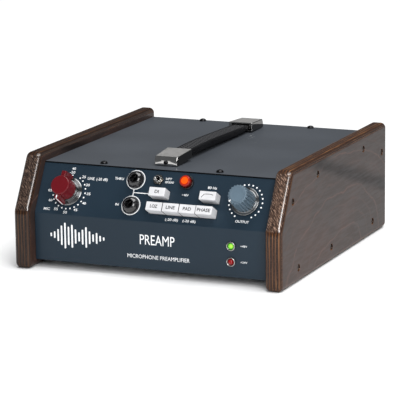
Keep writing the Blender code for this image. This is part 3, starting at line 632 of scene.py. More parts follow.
def glowing(name, colour, rough, at, reach, strength, *stops):
    """Lens lit from behind; on the unlit red LED the glow is painted light. The stops give its light by the
    share of a reach from a point.
    """
    look = Look(name, colour, rough, Specular_IOR_Level=0.3, Coat_Weight=0.12, Coat_Roughness=0.05)
    share = look.vector("DISTANCE", look.place, at.to_translation()) / (reach * MM)
    glow = (share + (look.noise(600, 2) - 0.5) * 0.05).ramp(*stops)
    base = look.mix(0.85, glow, colour)
    look.feed(Base_Color=base, Emission_Color=glow, Emission_Strength=strength)
    look.gloss(look.noise(900, 3), rough, rough + 0.08)
    look.bump(look.noise(700, 2), 0.06, 0.03)
    return look


def circuit(name):
    look = Look(name, (0.02, 0.12, 0.06), 0.45)
    tracks = look.add("TexVoronoi", {"Vector": look.stretched((1, 1, 0.01)), "Scale": 260}, "Distance")
    line = tracks.ramp((0.42, 0), (0.5, 1), (0.58, 0))
    look.feed(Base_Color=line.mix((0.012, 0.085, 0.045), (0.03, 0.19, 0.09)))
    look.gloss(look.noise(400, 3), 0.35, 0.5)
    look.bump(line, 0.3, 0.03)
    return look


def laminations(name):
    look = Look(name, (0.16, 0.15, 0.15), 0.5, 0.7)
    layers = (look.split(look.place)[1] * 2000).off_whole()
    rust = look.noise(300, 4, 0.7)
    tone = layers.ramp((0, 1), (0.2, 0)).mix((0.18, 0.17, 0.165), (0.03, 0.03, 0.03))
    tone = rust.ramp((0.55, 0), (0.8, 0.5)).mix(tone, (0.16, 0.07, 0.03))
    look.feed(Base_Color=tone)
    look.gloss(rust, 0.4, 0.65)
    look.bump(layers, 0.4, 0.08)
    return look


GLOSS = {"Coat_Weight": 0.5, "Coat_Roughness": 0.04}
CRIMSON = {"Specular_IOR_Level": 0.25, "Coat_Weight": 0.15, "Coat_Roughness": 0.12}
# The green LED is lit, but its glow is centred up and to the right of its middle, so the brightest spot is a
# painted highlight.
GREEN_GLOW_AND_HIGHLIGHT_AT = LEDS["green"][0] + 0.9, LEDS["green"][1] + 0.5, 2.2
LOOKS = {
    "wood": plywood("cheek_plywood"),
    "lid": powder_coat("lid_powder_coat", (0.06, 0.067, 0.078), 0.42, specular=0.3, painted_shade_ends=True),
    "panel": powder_coat("panel_powder_coat", (0.012, 0.0245, 0.0385), 0.38, 1800, 0.18, specular=0.25),
    "tray": bare_metal("zinc_plated_sheet", (0.45, 0.46, 0.47), 0.36, (1, 0.1, 1), 700),
    "nut": bare_metal("nickel_nut", (0.36, 0.33, 0.29), 0.16, grain=900, bump=0.06),
    "ink": plastic("printed_ink", (0.92, 0.93, 0.94), 0.55, 3000),
    "legend": plastic("printed_legend", (0.008, 0.008, 0.01), 0.7, 3000),
    "black_screw": bare_metal("black_oxide", (0.035, 0.035, 0.037), 0.3, grain=1500, bump=0.3),
    "wood_screw": bare_metal("bronzed_screw", (0.09, 0.075, 0.065), 0.3, grain=1500, bump=0.3),
    "cap": polished_cap("polished_nickel_cap"),
    "strap": strap_look("strap_moulding"),
    "red": plastic("crimson_moulding", (0.115, 0.003, 0.007), 0.33, 1400, 0.2, **CRIMSON),
    "blue": plastic("blue_grey_moulding", (0.095, 0.14, 0.18), 0.36, 1400, 0.2),
    "gain_metal": turned_metal("gain_skirt_aluminium", (0.22, 0.225, 0.23), 0.24, GAIN_AT, 0.02),
    "output_metal": turned_metal("output_skirt_aluminium", (0.24, 0.245, 0.25), 0.26, OUTPUT_AT, 0.04),
    "brass": bare_metal("turned_brass", (0.7, 0.5, 0.23), 0.25, (1, 1, 0.2), 1500),
    "nylon": plastic("dark_nylon", (0.028, 0.028, 0.032), 0.5, 1200, 0.25),
    "can": bare_metal("plated_can", (0.5, 0.5, 0.5), 0.3, (1, 1, 0.1), 900),
    "gloss": plastic("glossy_black_moulding", (0.01, 0.01, 0.011), 0.1, 900, 0.05, **GLOSS),
    "chrome": bare_metal("bright_chrome", (0.8, 0.79, 0.77), 0.07, grain=900, bump=0.06),
    "rim": bare_metal("plated_bezel", (0.42, 0.41, 0.4), 0.22, grain=900, bump=0.06),
    "white": white_moulding("white_cap_moulding", (0.64, 0.64, 0.655), 0.3),
    "connector": powder_coat("black_die_casting", (0.018, 0.018, 0.02), 0.35, 2200, 0.3),
    "gold": bare_metal("gilt_contact", (0.8, 0.6, 0.28), 0.2, grain=1500, bump=0.1),
    "board": circuit("solder_mask"),
    "screen": bare_metal("drawn_aluminium", (0.6, 0.61, 0.62), 0.32, (1, 1, 0.08), 900),
    "core": laminations("varnished_core"),
    "sleeve": plastic("shrunk_sleeve", (0.03, 0.06, 0.16), 0.35, 900, 0.1),
    "amber": glowing(
        "amber_lens", (0.1, 0.004, 0.001), 0.16, slope(*LAMP_AT, 6.6), 6.2, 0.85,
        (0.44, (1, 0.115, 0.002)), (0.53, (0.48, 0.022, 0.001)), (0.72, (0.24, 0.004, 0.001)),
        (0.84, (0.04, 0.001, 0.001)), (1, (0.006, 0.001, 0.001)),
    ),
    "green": glowing(
        "green_lens", (0.12, 0.45, 0.04), 0.15, front(*GREEN_GLOW_AND_HIGHLIGHT_AT), 3.4, 0.5,
        (0.25, (0.6, 0.92, 0.05)), (0.5, (0.16, 0.55, 0.02)), (0.9, (0.015, 0.13, 0.005)),
    ),
    # The red LED is unlit: its faint glow, brightest in the middle, is painted light.
    "red_led": glowing(
        "red_lens", (0.25, 0.006, 0.006), 0.12, front(*LEDS["red"], 1.4), 3.4, 0.12,
        (0.3, (0.36, 0.004, 0.004)), (0.62, (0.13, 0.002, 0.002)), (1, (0.02, 0.001, 0.001)),
    ),
}

# Carried-over CAD nodes and the look each one wears.
NODE_LOOKS = {
    "panel": "front_panel rear_panel", "lid": "top_cover", "tray": "chassis_tray",
    "brass": "gain_shaft output_shaft", "nylon": "gain_switch switch_bank switch_di switch_filter",
    "can": "output_pot", "connector": "input_xlr output_xlr", "board": "main_board control_board",
    "gloss": "thru_jack di_jack toggle_body lamp_switch power_inlet input_latch",
    "screen": "input_transformer", "core": "output_transformer",
    "sleeve": "supply_capacitor_1 supply_capacitor_2",
}


# ---- cabinet

def make_cheek(side):
    """side is -1 for the left cheek and +1 for the right one."""
    name = "left_cheek" if side < 0 else "right_cheek"
    low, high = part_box(name)
    front_y, back_y = (low.y - FRONT_Y) / MM, (high.y - FRONT_Y) / MM
    top = high.z / MM
    outline = [(front_y, 0), (front_y, CHEEK_KNEE_Z), (CHEEK_BROW_Y, top), (back_y, top), (back_y, 0)]
    into_x = pose(design(0, 0, 0), BACK, TOP, RIGHT)
    cheek = extruded(f"{name}_board", outline, low.x / MM, high.x / MM, into_x)
    bevel(cheek, CHEEK_ROUND, segments=9, angle=20)
    outer = max(abs(low.x), abs(high.x)) / MM
    floor = outer - SCREW_SINK
    recess = [(0, floor), (2.75, floor), (2.95, outer - 0.25), (3.4, outer + 0.3), (0, outer + 0.3)]
    for y, z in CHEEK_SCREWS:
        at = Matrix.Translation(design(0, y, z)) @ spin("Y", side * pi / 2)
        boolean(cheek, turned("recess", recess, at, steps=32))
        make_cheek_screw(name, y, z, floor, at)
    finished(cheek, "wood", name, angle=30)


def make_cheek_screw(name, y, z, floor, at):
    """Countersunk wood screw sunk in its recess, with a cross slot."""
    head = turned(f"{name}_screw_{y:.0f}_{z:.0f}", fillet([
        (0, floor + 0.02, 0), (2.5, floor + 0.02, 0.1), (2.55, floor + 0.55, 0.15),
        (1.9, floor + 0.95, 0.4), (0, floor + 1.1, 0),
    ]), at, steps=32)
    random.seed(int(y * 10 + z))
    turn = random.uniform(0, pi / 2)
    for quarter in (0, pi / 2):
        cross = at @ spin("Z", turn) @ spin("Z", quarter)
        boolean(head, block("slot", (-1.5, -0.26, floor + 0.45), (1.5, 0.26, floor + 2), cross))
    finished(head, "wood_screw", angle=30)


def button_screw(name, at, head=3, height=1.9, base=GAP, socket=1.15, node=None):
    """Button-head screw with a hexagon socket."""
    profile = [(0, base, 0), (head - 0.15, base, 0.1), (head, base + 0.35, 0.15)]
    for k in range(1, 9):
        angle = pi / 2 * k / 9
        profile.append((head * cos(angle) ** 0.9, base + 0.35 + (height - 0.35) * sin(angle), 0))
    profile.append((0, base + height, 0))
    screw = turned(name, fillet(profile), at, steps=48)
    boolean(screw, extruded("pit", polygon(socket, 6), base + height - 1.3, base + height + 1, at))
    finished(screw, "black_screw", node, angle=32)


def make_lid_screws():
    washer = [(1.6, 0.02, 0), (3.35, 0.02, 0.05), (3.35, 0.28, 0.1), (1.6, 0.28, 0)]
    for place in ("front_left", "front_right", "rear_left", "rear_right"):
        node = f"lid_screw_{place}"
        low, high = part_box(node)
        at = Matrix.Translation(((low.x + high.x) / 2, (low.y + high.y) / 2, LID_Z))
        lathed(f"{node}_washer", "black_screw", washer, at, 48)
        button_screw(f"{node}_head", at, node=node)


# ---- handle

def strap_top(y):
    """Height of the strap's top above the lid: straight in each cap, an arch between them."""
    from_front = y - CAP_OUTER_Y
    from_rear = 2 * HANDLE_MID_Y - CAP_OUTER_Y - y
    slopes = tan(CAP_TILT["front"]), -tan(CAP_TILT["rear"])
    in_cap = GAP + STRAP_RISE + STRAP_END_THICK
    ends = in_cap + CAP_LENGTH * slopes[0], in_cap - CAP_LENGTH * slopes[1]
    if from_front <= CAP_LENGTH:
        return in_cap + from_front * slopes[0]
    if from_rear <= CAP_LENGTH:
        return in_cap - from_rear * slopes[1]
    span = 2 * (HANDLE_MID_Y - CAP_OUTER_Y - CAP_LENGTH)
    t = (from_front - CAP_LENGTH) / span
    bow = slopes[0] * span * t * (1 - t) ** 2 - slopes[1] * span * t * t * (1 - t)
    return ends[0] + (ends[1] - ends[0]) * t * t * (3 - 2 * t) + bow * 0.7


def strap_thickness(y):
    beyond = HANDLE_MID_Y - abs(y - HANDLE_MID_Y) - CAP_OUTER_Y - CAP_LENGTH
    t = min(max(beyond / STRAP_SWELL, 0), 1)
    return STRAP_END_THICK + (STRAP_MID_THICK - STRAP_END_THICK) * t * t * (3 - 2 * t)


def weave_sink(x, y):
    """Height of the strap's top against its lips: below them in the basket pattern."""
    field = STRAP_WIDTH / 2 - 1.9
    if abs(x) >= field:
        return 0
    edge = min((field - abs(x)) / 0.5, 1)
    column = (x + 50) / WEAVE_ACROSS
    row = sin(2 * pi * y / WEAVE_ALONG + pi * (column // 1))
    strand = abs(sin(pi * column))
    return -edge * (0.12 + 0.42 * (0.5 - 0.5 * row * strand) + 0.1 * (1 - strand))


def strap_section(y, columns=44):
    """Outline of the strap across itself, with rounded corners."""
    top = strap_top(y)
    bottom = top - strap_thickness(y)
    inset = STRAP_WIDTH / 2 - STRAP_LIP
    ring = []
    for k in range(columns + 1):
        x = -STRAP_WIDTH / 2 + STRAP_LIP + (STRAP_WIDTH - 2 * STRAP_LIP) * k / columns
        ring.append((x, top + weave_sink(x, y)))

    def corner(x, z, start):
        for k in range(5):
            angle = radians(start - 22.5 * k)
            ring.append((x + STRAP_LIP * cos(angle), z + STRAP_LIP * sin(angle)))

    corner(inset, top - STRAP_LIP, 90)
    corner(inset, bottom + STRAP_LIP, 0)
    ring += [(inset * (1 - k / 4), bottom) for k in range(9)]
    corner(-inset, bottom + STRAP_LIP, 270)
    corner(-inset, top - STRAP_LIP, 180)
    clean = [ring[0]]
    for point in ring[1:]:
        if dist(point, clean[-1]) > 0.01 and dist(point, ring[0]) > 0.01:
            clean.append(point)
    return clean


def make_strap(stations=560):
    """Moulded strap with a basket pattern sunk into its top."""
    start = CAP_OUTER_Y + STRAP_END_INSET
    end = 2 * HANDLE_MID_Y - start
    shape = bmesh.new()
    rings = []
    for i in range(stations + 1):
        y = start + (end - start) * i / stations
        rings.append([shape.verts.new((x, y, LID_Z / MM + z)) for x, z in strap_section(y)])
    for low, high in zip(rings, rings[1:]):
        skin(shape, low, high)
    shape.faces.new(rings[0])
    shape.faces.new(rings[-1][::-1])
    strap = to_object("strap_moulding", shape, Matrix.Translation((0, FRONT_Y, 0)), weld=False)
    finished(strap, "strap", "handle_strap", angle=60)


def make_cap(end):
    """Sleeve with rounded edges, open towards the strap, and its end screw."""
    if end == "front":
        y, about = CAP_OUTER_Y, 0
    else:
        y, about = 2 * HANDLE_MID_Y - CAP_OUTER_Y, pi
    at = Matrix.Translation(design(0, y, LID_Z / MM + GAP)) @ spin("Z", about) @ spin("X", CAP_TILT[end])
    half = CAP_WIDTH / 2
    narrow, wide = half * (1 - CAP_FLARE), half * (1 + CAP_FLARE)
    shape = bmesh.new()
    corners = [(-narrow, 0), (narrow, 0), (wide, CAP_LENGTH), (-wide, CAP_LENGTH)]
    levels = [
        [shape.verts.new((x, max(y, back), z)) for x, y in corners]
        for z, back in ((0, 0), (CAP_BROW_Z, CAP_LEAN * 0.2), (CAP_HEIGHT, CAP_LEAN))
    ]
    shape.faces.new(levels[0][::-1])
    shape.faces.new(levels[-1])
    for lower, upper in zip(levels, levels[1:]):
        for k in range(4):
            shape.faces.new((lower[k - 1], lower[k], upper[k], upper[k - 1]))
    cap = to_object(f"{end}_cap_sleeve", shape, at)
    bevel(cap, 0.7, segments=5, angle=40)
    inside = STRAP_WIDTH / 2 + GAP
    low = (-inside, STRAP_END_INSET - 1, CAP_FLOOR)
    pocket = block("pocket", low, (inside, CAP_LENGTH + 3, CAP_HEIGHT - CAP_ROOF), at)
    bevel(pocket, 0.5, segments=3)
    boolean(cap, pocket)
    forward = spin("X", pi / 2)
    boolean(cap, rod(1.3, -4, 4, at @ shift(0, 0, CAP_SCREW_Z) @ forward, 32))
    side = half * (1 - CAP_FLARE * 0.75)
    for low_x, high_x in ((side - 0.3, side + 1), (-side - 1, -side + 0.3)):
        boolean(cap, block("seam", (low_x, 3.6, -1), (high_x, 3.9, CAP_HEIGHT - 0.8), at))
    finished(cap, "cap", f"handle_cap_{end}", angle=30)
    screw_at = at @ shift(0, -0.15, CAP_SCREW_Z) @ forward
    button_screw(f"{end}_cap_screw", screw_at, 1.75, 0.95, 0.1, 0.75, f"handle_screw_{end}")


# ---- knobs

def make_gain_control():
    at = pose(GAIN_AT, RIGHT, UP, OUT) @ spin("Z", -GAIN_POINTER)
    body = turned("gain_grip", fillet([
        (0, 20.2, 0), (7, 20.2, 0), (7.75, 20.2, 0), (8.3, 19.75, 0.25),
        (8.9, 7.4, 0.15), (8.8, 6.9, 0), (0, 6.9, 0),
    ]), at, steps=96)
    wing = [
        (-13.3, 4.7), (-13, 19), (-12.4, 19.6), (11.4, 19.6), (12, 19), (12.9, 4.7),
        (9.9, 4.7), (9.9, 7), (-9.9, 7), (-9.9, 4.7),
    ]
    wings = extruded("wings", wing, -2, 2, at @ pose((0, 0, 0), BACK, TOP, RIGHT))
    bevel(wings, 0.45, segments=3, angle=35)
    boolean(body, wings, "UNION")
    boolean(body, block("groove", (-0.75, -14, 18.9), (0.75, -8.7, 21), at))
    boolean(body, block("groove", (-0.55, 8.9, 19.25), (0.55, 14.5, 21), at))
    boolean(body, rod(3.3, 5, 14.6, at, 40))
    finished(body, "red", "gain_knob", "gain_control", 28)
    slab("gain_pointer_line", "ink", (-0.5, 8.95, 19.27), (0.5, 11.45, 19.66), at, "gain_control", 0.08)
    end = at @ shift(0, 12.02, 19) @ spin("X", atan2(0.9, 14.3))
    slab("gain_pointer_end", "ink", (-0.5, -0.1, -14), (0.5, 0.05, 0.15), end, "gain_control")
    lathed("gain_skirt_turning", "gain_metal", [
        (9, 6.6, 0.15), (9.6, 6.45, 0.3), (9.65, 5.6, 0.3), (9.1, 4.9, 0.2), (9.1, 2.9, 0.25),
        (11.6, 2.35, 0.5), (12.4, 1.95, 0.3), (12.4, 1, 0.3), (11.9, 0.6, 0.2), (3.3, 0.6, 0),
        (3.3, 6.6, 0),
    ], at, 120, "gain_skirt", "gain_control", 28)


def make_output_control(flutes=20):
    at = pose(OUTPUT_AT, RIGHT, UP, OUT) @ spin("Z", -OUTPUT_POINTER)
    around = flutes * 12
    shape = bmesh.new()
    loops = []
    for height, radius, depth in (
        (2.7, 9.6, 1), (8, 9.35, 1), (16.8, 8.85, 1), (18.6, 8.75, 1), (19.6, 8.65, 0.95),
        (20.3, 8.45, 0.85), (20.75, 8, 0.6), (20.9, 7.4, 0.2), (20.9, 6.75, 0), (21.35, 6.62, 0),
        (21.62, 6.45, 0), (21.7, 6.1, 0), (21.55, 5.6, 0), (21.5, 3, 0),
    ):
        loop = []
        for k in range(around):
            angle = 2 * pi * k / around
            wave = (0.5 - 0.5 * cos(flutes * angle)) ** 1.5
            r = radius * (1 - 0.115 * depth * wave)
            loop.append(shape.verts.new((r * cos(angle), r * sin(angle), height)))
        loops.append(loop)
    for low, high in zip(loops, loops[1:]):
        skin(shape, low, high)
    shape.faces.new(loops[0][::-1])
    shape.faces.new(loops[-1])
    knob = to_object("output_grip", shape, at)
    boolean(knob, rod(3.3, 1, 14.6, at, 40))
    side = at @ spin("Z", radians(-38)) @ shift(0, 0, 11.5) @ spin("Y", pi / 2)
    boolean(knob, rod(0.9, 5, 12, side, 24))
    finished(knob, "blue", "output_knob", "output_control", 32)
    slab("output_pointer_line", "ink", (-0.45, 6.85, 20.1), (0.45, 8.75, 20.98), at, "output_control", 0.1)
    slab("output_pointer_side", "ink", (-0.45, 8.55, 17.2), (0.45, 8.82, 20.6), at, "output_control")
    lathed("output_skirt_turning", "output_metal", [
        (9.3, 2.66, 0), (9.8, 2.66, 0.1), (10.2, 2.3, 0.1), (11.7, 2.3, 0.2), (12.1, 2.05, 0.2),
        (12.1, 1, 0.3), (11.6, 0.6, 0.2), (3.3, 0.6, 0), (3.3, 2.66, 0),
    ], at, 120, "output_skirt", "output_control", 28)


# ---- jacks, toggle, lamp, buttons, indicators

def make_jack_nut(node, at):
    """Moulded nut with a domed shoulder, and the contact spring inside."""
    lathed(f"{node}_dome", "gloss", [
        (4.85, 0.3, 0), (7.6, 0.3, 0.1), (7.5, 1.3, 0.4), (7, 2.65, 0.8), (6.25, 3.95, 0.9),
        (5.3, 4.95, 0.8), (4.4, 5.5, 0.5), (3.72, 5.62, 0.12), (3.5, 5.3, 0.1), (3.5, 1.8, 0.1),
        (4.85, 1.8, 0),
    ], at, 96, f"{node}_nut")
    slab(f"{node}_contact", "can", (-0.9, 1.9, -9), (0.9, 2.3, -3), at @ spin("X", radians(8)), edge=0.12)


def make_toggle(at):
    nut = extruded("toggle_hexagon", polygon(4.6, 6), 0.3, 2.3, at)
    chamfer = turned("chamfer", [(0, -1), (6.5, -1), (5, 0.35), (4.15, 2.6), (0, 2.6)], at, steps=64)
    boolean(nut, chamfer, "INTERSECT")
    boolean(nut, rod(3.2, -1, 4, at, 48))
    finished(nut, "nut", "toggle_nut", angle=25)
    lathed("toggle_bushing", "chrome", [
        (2.25, 2.45, 0), (2.95, 2.45, 0.05), (2.95, 2.9, 0.1), (2.7, 3.05, 0.05), (2.95, 3.2, 0.05),
        (2.95, 3.6, 0.1), (2.7, 3.75, 0.05), (2.95, 3.9, 0.05), (2.95, 4.5, 0.2), (2.25, 4.5, 0.1),
    ], at, 64, arc=2)
    lathed("toggle_bat", "chrome", [
        (0, -1, 0), (0.9, -0.7, 0.2), (1.2, 0, 0.3), (0.85, 0.6, 0.3), (0.95, 3, 0),
        (1.3, 6.6, 0.8), (1.3, 7.8, 0.5), (0.9, 8.4, 0.3), (0, 8.6, 0),
    ], at @ shift(0, 0, 1.6) @ spin("X", TOGGLE_LEAN), 48, "toggle_lever", "toggle_arm", 50)


def make_lamp(at):
    lathed("lamp_ring", "gloss", [
        (5.35, 2.4, 0.1), (5.85, 2.35, 0.2), (6.2, 1.7, 0.3), (6.2, 0.3, 0.1), (5.2, 0.3, 0),
        (5.2, -4.5, 0), (4.7, -4.5, 0), (4.7, 0.7, 0), (5.35, 0.7, 0),
    ], at, 80, "lamp_bezel")
    lathed("lamp_dome", "amber", [
        (0, 6.9, 0), (2.6, 6.8, 0.5), (4.1, 6.55, 0.7), (4.9, 5.6, 0.5), (4.9, 2.6, 0.1),
        (4.4, 2.6, 0), (4.4, -5, 0), (0, -5, 0),
    ], at, 80, "lamp_lens", "lamp_button")


def make_button(key, at):
    """Cap with rounded edges and a stem into its switch. Returns its height."""
    half_x, half_s = BUTTON_SIZE[0] / 2, BUTTON_SIZE[1] / 2
    top = BUTTON_HEIGHT + (PROUD_BUTTON if key == "phase" else 0)
    cap = block(f"button_{key}_cap", (-half_x, -half_s, -2.4), (half_x, half_s, top), at)
    bevel(cap, 0.55, segments=4)
    boolean(cap, block("stem", (-1.8, -1.8, -9), (1.8, 1.8, -1), at), "UNION")
    finished(cap, "white", f"button_{key}", f"press_{key}", 30)
    return top


def make_led(colour, look, at):
    lathed(f"{colour}_led_holder", "rim", [
        (2.8, 1.2, 0.1), (3.25, 1.65, 0.2), (3.75, 1.4, 0.3), (4, 0.8, 0.2), (4, 0.3, 0.1),
        (3.15, 0.3, 0), (3.15, -4, 0), (2.8, -4, 0),
    ], at, 64, f"{colour}_led_bezel")
    angles = [pi / 2 * k / 9 for k in range(1, 10)]
    dome = [(2.5 * sin(a), 0.4 + 2.5 * cos(a)) for a in angles]
    lens = turned(f"{colour}_led_dome", [(0, 2.9), *dome, (2.5, -6), (0, -6)], at, steps=48)
    finished(lens, look, f"{colour}_led")


# ---- printing

def text_mesh(text, **settings):
    curve = bpy.data.curves.new("words", "FONT")
    curve.body = text
    for setting, value in settings.items():
        setattr(curve, setting, value)
    obj = link("words", curve)
    mesh = evaluated(obj)
    bpy.data.objects.remove(obj)
    bpy.data.curves.remove(curve)
    return mesh


CAPITAL_HEIGHTS = [v.co.y for v in text_mesh("H").vertices]
CAPITAL = max(CAPITAL_HEIGHTS) - min(CAPITAL_HEIGHTS)


class Print:
    """Thin raised ink, one object for each group."""

    def __init__(self, name, look="ink", body="chassis"):
        self.name, self.look, self.body = name, look, body
        self.shape = bmesh.new()

    def add(self, shape, at):
        mesh = bpy.data.meshes.new("ink")
        bmesh.ops.scale(shape, vec=(MM, MM, MM), verts=shape.verts)
        shape.to_mesh(mesh)
        shape.free()
        mesh.transform(at)
        self.shape.from_mesh(mesh)
        bpy.data.meshes.remove(mesh)

    def outline(self, points, at):
        shape = bmesh.new()
        drawn_out(shape, points, 0, INK_THICK)
        bmesh.ops.recalc_face_normals(shape, faces=shape.faces)
        self.add(shape, at)

    def ring(self, outer, inner, at, steps=96):
        shape = bmesh.new()
        section = (outer, 0), (outer, INK_THICK), (inner, INK_THICK), (inner, 0)
        loops = [[shape.verts.new((x, y, z)) for x, y in polygon(r, steps)] for r, z in section]
        for low, high in zip(loops, loops[1:] + loops[:1]):
            skin(shape, low, high)
        bmesh.ops.recalc_face_normals(shape, faces=shape.faces)
        self.add(shape, at)

    def words(self, text, at, height, width=None, bold=0):
        """Centred lettering, fitted to a width if one is given."""
        thick = INK_THICK / 2
        mesh = text_mesh(text, size=height / CAPITAL, extrude=thick, resolution_u=3, offset=bold)
        shape = bmesh.new()
        shape.from_mesh(mesh)
        bpy.data.meshes.remove(mesh)
        bmesh.ops.remove_doubles(shape, verts=shape.verts, dist=0.0005)
        xs = [v.co.x for v in shape.verts]
        middle, span = (min(xs) + max(xs)) / 2, max(xs) - min(xs)
        stretch = width / span if width else 1
        for vert in shape.verts:
            vert.co.x = (vert.co.x - middle) * stretch
            vert.co.y -= height / 2
            vert.co.z += thick
        self.add(shape, at)

    def line(self, points, width, at):
        """A stroke of constant width through the points, with mitred corners."""
        left, right = [], []
        for i, point in enumerate(points):
            here = Vector(point)
            before = (here - Vector(points[i - 1])).normalized() if i else None
            after = (Vector(points[i + 1]) - here).normalized() if i + 1 < len(points) else None
            along = ((before or after) + (after or before)).normalized()
            across = Vector((-along.y, along.x))
            ahead = after or before
            reach = width / 2 / max(across.dot(Vector((-ahead.y, ahead.x))), 0.4)
            left.append(tuple(here + across * reach))
            right.append(tuple(here - across * reach))
        self.outline(right + left[::-1], at)

    def done(self):
        mesh = bpy.data.meshes.new(self.name)
        self.shape.to_mesh(mesh)
        self.shape.free()
        obj = link(self.name, mesh)
        obj.data.materials.append(LOOKS[self.look].material)
        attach(obj, self.body)


def capsule(x, radius, height):
    """Outline of an upright bar with round ends."""
    half = max(height / 2 - radius, 0)
    ends = [(middle, start + pi * k / 8) for middle, start in ((half, 0), (-half, pi)) for k in range(9)]
    return [(x + radius * cos(a), middle + radius * sin(a)) for middle, a in ends]


GAIN_NUMBERS = [  # text, degrees clockwise from up-slope, radius
    ("40", 0, 20.9), ("25", 37, 17.9), ("30", 65, 17.6), ("35", 91, 18.3), ("40", 119, 18.2),
    ("45", 149, 17.8), ("50", 180, 18.1), ("55", 210, 18.2), ("60", 242, 18), ("65", 271, 18.3),
]
PANEL_WORDS = [  # text, X, S, capital height, width
    ("LINE  (-20 dB)", -54.9, 33.5, 2.3, 18.6),
    ("MIC", -96.6, 3.95, 2.2, 5.6),
    ("THRU", -34.9, 35.4, 2.1, 8.2),
    ("IN", -32.5, 12.8, 2.1, 3),
    ("LIFT", 10.2, 38.45, 1.7, 5.4),
    ("GROUND", 11.3, 35.5, 1.7, 8),
    ("+48V", 27.6, 25.6, 1.8, 6.2),
    ("80 Hz", 50.8, 33.6, 2.1, 8.2),
    ("(-20 dB)", 19.8, 3.4, 2.1, 11.6),
    ("(-20 dB)", 35.7, 3.4, 2.1, 11.6),
    ("OUTPUT", 82.5, 6.75, 2.1, 12),
]
FRONT_WORDS = [  # text, X, Z, capital height, width
    ("PREAMP", 7, 32.2, 8.4, 31.8),
    ("MICROPHONE PREAMPLIFIER", 7.9, 17.4, 3.2, 57),
    ("+48V", 85.2, 33.8, 1.7, 6),
    ("+24V", 85.2, 20.2, 1.7, 6),
]
CAP_WORDS = {  # text, width
    "di": ("DI", 3.7), "loz": ("LOZ", 6.6), "line": ("LINE", 8), "pad": ("PAD", 7.4),
    "phase": ("PHASE", 11.8),
}
FILTER_CURVE = [
    (-5.2, -1.9), (-4.3, -0.6), (-3.4, 0.55), (-2.6, 1.05), (-1.5, 1.25), (2.6, 1.25), (3.9, 1.05),
    (5.1, 0.55),
]
WAVE_BARS = [
    3.2, 6, 10.5, 17, 22.5, 16, 20, 12.5, 8, 13, 18, 11, 6.5, 9.5, 5, 3,
]


def around(control, radius, degrees):
    """Frame at a distance from a control, degrees clockwise from up-slope."""
    x, s = on_slope(control)
    angle = radians(degrees)
    return slope(x + radius * sin(angle), s + radius * cos(angle))


def print_slope():
    ink = Print("slope_printing")
    for degrees in [0, *range(30, 256, 15)]:
        ink.outline(polygon(0.68, 16), around(GAIN_AT, 14.9, degrees))
    for text, degrees, radius in GAIN_NUMBERS:
        ink.words(text, around(GAIN_AT, radius, degrees), 2.15, 3.5, BOLD)
    gain_x, gain_s = on_slope(GAIN_AT)
    ink.words("-20", slope(gain_x - 0.7, gain_s + 17.6), 2.15, 5, BOLD)
    for degrees in range(-150, 151, 15):
        ink.outline(polygon(0.72, 16), around(OUTPUT_AT, 14.8, degrees))
    for at in (THRU_JACK_AT, DI_JACK_AT):
        ink.ring(8.55, 7.85, slope(*at))
    x, high, low = THRU_JACK_AT[0], THRU_JACK_AT[1] - 8.2, DI_JACK_AT[1] + 8.2
    ink.line([(x, low), (x, high)], 0.7, slope(0, 0))
    ink.line([(x, 24.2), (BUTTONS["di"][0] - BUTTON_SIZE[0] / 2 - 0.5, 24.2)], 0.7, slope(0, 0))
    for text, x, s, height, width in PANEL_WORDS:
        ink.words(text, slope(x, s), height, width, BOLD)
    ink.done()


def print_front():
    ink = Print("front_printing")
    for text, x, z, height, width in FRONT_WORDS:
        ink.words(text, front(x, z), height, width)
    # Generic mark: a sound wave drawn as a row of upright bars.
    for i, height in enumerate(WAVE_BARS):
        ink.outline(capsule(-92 + i * 3.3, 0.75, height), front(0, 29.5))
    ink.done()


def print_caps(tops):
    for key, (text, width) in CAP_WORDS.items():
        ink = Print(f"button_{key}_legend", "legend", f"press_{key}")
        ink.words(text, slope(*BUTTONS[key], tops[key]), 2.7, width, 0.07)
        ink.done()
    ink = Print("button_filter_legend", "legend", "press_filter")
    ink.line(FILTER_CURVE, 0.42, slope(*BUTTONS["filter"], tops["filter"]))
    ink.done()


def print_rear():
    ink = Print("rear_printing")
    for text, at, z in (("INPUT", INPUT_XLR_AT, 68), ("OUTPUT", OUTPUT_XLR_AT, 68), ("24V DC", POWER_AT, 52)):
        ink.words(text, rear(at[0], z), 3)
    ink.done()


# ---- rear connectors

def make_rear_details():
    for name, at in (("input", INPUT_XLR_AT), ("output", OUTPUT_XLR_AT)):
        for i, (x, y) in enumerate(((-9.5, 12), (9.5, -12))):
            button_screw(f"{name}_flange_screw_{i + 1}", rear(*at) @ shift(x, y, 1.7), 2.3, 1.3, GAP, 0.9)
    for i in range(3):
        angle = radians(120 * i)
        place = shift(4.4 * sin(angle), -4.4 * cos(angle), 0)
        lathed(f"output_pin_{i + 1}", "gold", [
            (0, -13.4, 0), (1.22, -13.4, 0), (1.22, -2, 0.5), (0.5, -1.3, 0.4), (0, -1.25, 0),
        ], rear(*OUTPUT_XLR_AT) @ place, 40)
        lathed(f"input_contact_{i + 1}", "gold", [
            (1.05, 1.2, 0.05), (1.35, 1.2, 0.1), (1.35, -10, 0), (1.05, -10, 0),
        ], rear(*INPUT_XLR_AT) @ place, 40)
    pin = [(0, -8.9, 0), (1.05, -8.9, 0), (1.05, -1.4, 0.3), (0, -0.9, 0)]
    lathed("power_pin", "can", pin, rear(*POWER_AT), 40)
    for x in (-99, 99):
        for z in (14, 78):
            name = f"rear_panel_screw_{x:.0f}_{z:.0f}".replace("-", "m")
            button_screw(name, rear(x, z, -0.2), 2.8, 1.8)


# ---- stage, light and camera

